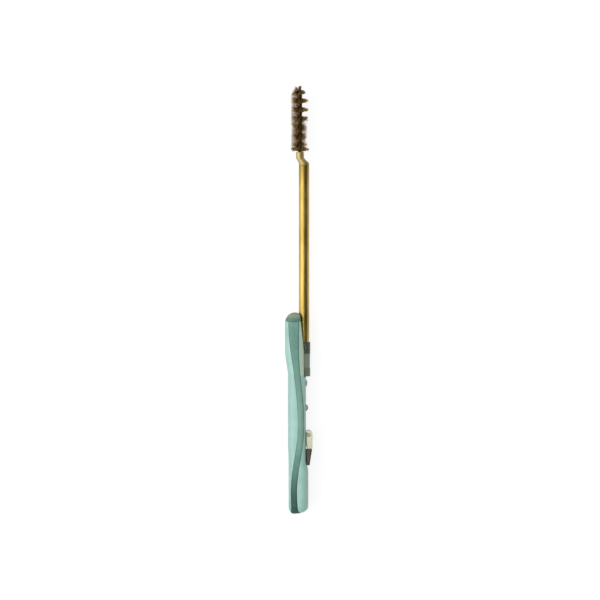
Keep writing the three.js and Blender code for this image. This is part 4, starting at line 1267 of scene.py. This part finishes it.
def dress_handle():
    teal = teal_plastic()
    soft = soft_teal()
    front, back = shells()
    dress(front, "handle", "teal_plastic", teal, "front_shell")
    dress(back, "handle", "teal_plastic", teal, "back_shell")
    dress(inlay("front_inlay_fine", **front_band), "handle", "soft_teal", soft, "front_grip_inlay")
    dress(inlay("back_inlay_fine", **back_band), "handle", "soft_teal", soft, "back_grip_inlay")
    nose_look = rubber("nose_rubber", "557A6F", "618579", "9DB1A1", tip="929D89")
    # the tail cap's left side carries a painted highlight in the shells' colour
    tail_look = rubber("tail_rubber", "27453F", "2F504A", "5B7A71", highlight_flank=SHELL_TEAL)
    dress(nose_cap(), "handle", "nose_rubber", nose_look, "nose_cap")
    dress(tail_cap(), "handle", "tail_rubber", tail_look, "tail_cap")
    rib_look = rubber("rib_rubber", "8FA695", "9DB2A2", "B9C8BB")
    for name, rib in RIBS.items():
        dress(finger_rib(name, rib), "handle", "soft_teal", rib_look)


def dress_screws(metal):
    for number, (x, y, low_z, high_z) in enumerate(screw_places(), start=1):
        made = screw(f"shell_screw_{number}_fine", low_z, high_z, (x, y), **SHELL_SCREW)
        dress(made, "handle", "steel", metal, f"shell_screw_{number}")


def dress_slider():
    # end: the colour of the painted shade at the tube's front end
    gold = brass("brass", "BCA253", "A0883F", "6E5624", rough=0.3, end="8C7334")
    pale = brass("neck_brass", "B5A36E", "9C8752", "746040", rough=0.5)
    dress(rod_tube(), "slider", "brass", gold, "rod_tube")
    dress(cranked_neck(), "slider", "brass", pale, "cranked_neck")
    dress(slide_shoe(), "slider", "dark_plastic", shoe_plastic(), "slide_shoe")
    dark_steel = steel("dark_pin", "4A4C48", "33352F", rough=0.4)
    dress(shoe_pin(), "slider", "steel", dark_steel, "shoe_pin")
    cream = hard_plastic("cream_plastic", "D0D2B4", "DAD8BA", "B8B696")
    dress(thumb_cap(), "slider", "cream_plastic", cream, "thumb_cap")
    bright_steel = steel("bright_steel", "CFCDC2", "B5B3A8", rough=0.35)
    dress(cap_screw(), "slider", "steel", bright_steel, "cap_screw")
    pad_look = rubber("dark_rubber", "454F3A", "535E46", "747F68")
    dress(thumb_pad(), "slider", "dark_rubber", pad_look, "thumb_pad")


def dress_brush():
    strands = wire("bristle_wire", "927240", "CCA96A", "58441E")
    core = wire("core_wire", "6E5932", "80693E", "5A4722")
    for index in range(SECTION_COUNT):
        made = bristles(index, BRISTLE_COUNT // SECTION_COUNT)
        dress(made, "slider", "bristle_wire", strands, f"bristle_section_{index + 1}")
    dress(core_wires(), "slider", "bristle_wire", core, "core_stem")


def dress_solids(metal):
    """The pieces whose solids are right as they are get rounded edges and their finish."""
    dark = hard_plastic("dark_plastic", "41463A", "4C5143", "6B7162", rough=0.42)
    looks = {
        "thumb_block": dark,
        "rod_plug": dark,
        "rear_bumper": rubber("bumper_rubber", "33372F", "3D4138", "5C6155"),
        "pull_link": metal,
        "link_pin_front": metal,
        "link_pin_rear": metal,
        "detent_spring": metal,
    }
    for name, look in looks.items():
        solid = frame["nodes"][name]
        paint(solid, look)
        bevel = solid.modifiers.new("edge", "BEVEL")
        bevel.width = SOLID_BEVEL * MM
        bevel.segments = SOLID_BEVEL_STEPS
        bevel.limit_method = "ANGLE"
        bevel.angle_limit = SOLID_BEVEL_ANGLE


plain_steel = steel("steel", "A3A39F", "85857F", rough=0.28)
dress_handle()
dress_screws(plain_steel)
dress_slider()
dress_brush()
dress_solids(plain_steel)

floor()
flag()
world()
area_light("key", place=(0.08, 0.8, 0.62), size=(1.5, 1.0), power=7)
area_light("top", place=(0.08, 0.1, 1.5), size=(0.8, 0.8), power=4)
camera()
bpy.context.scene.view_settings.view_transform = "Standard"
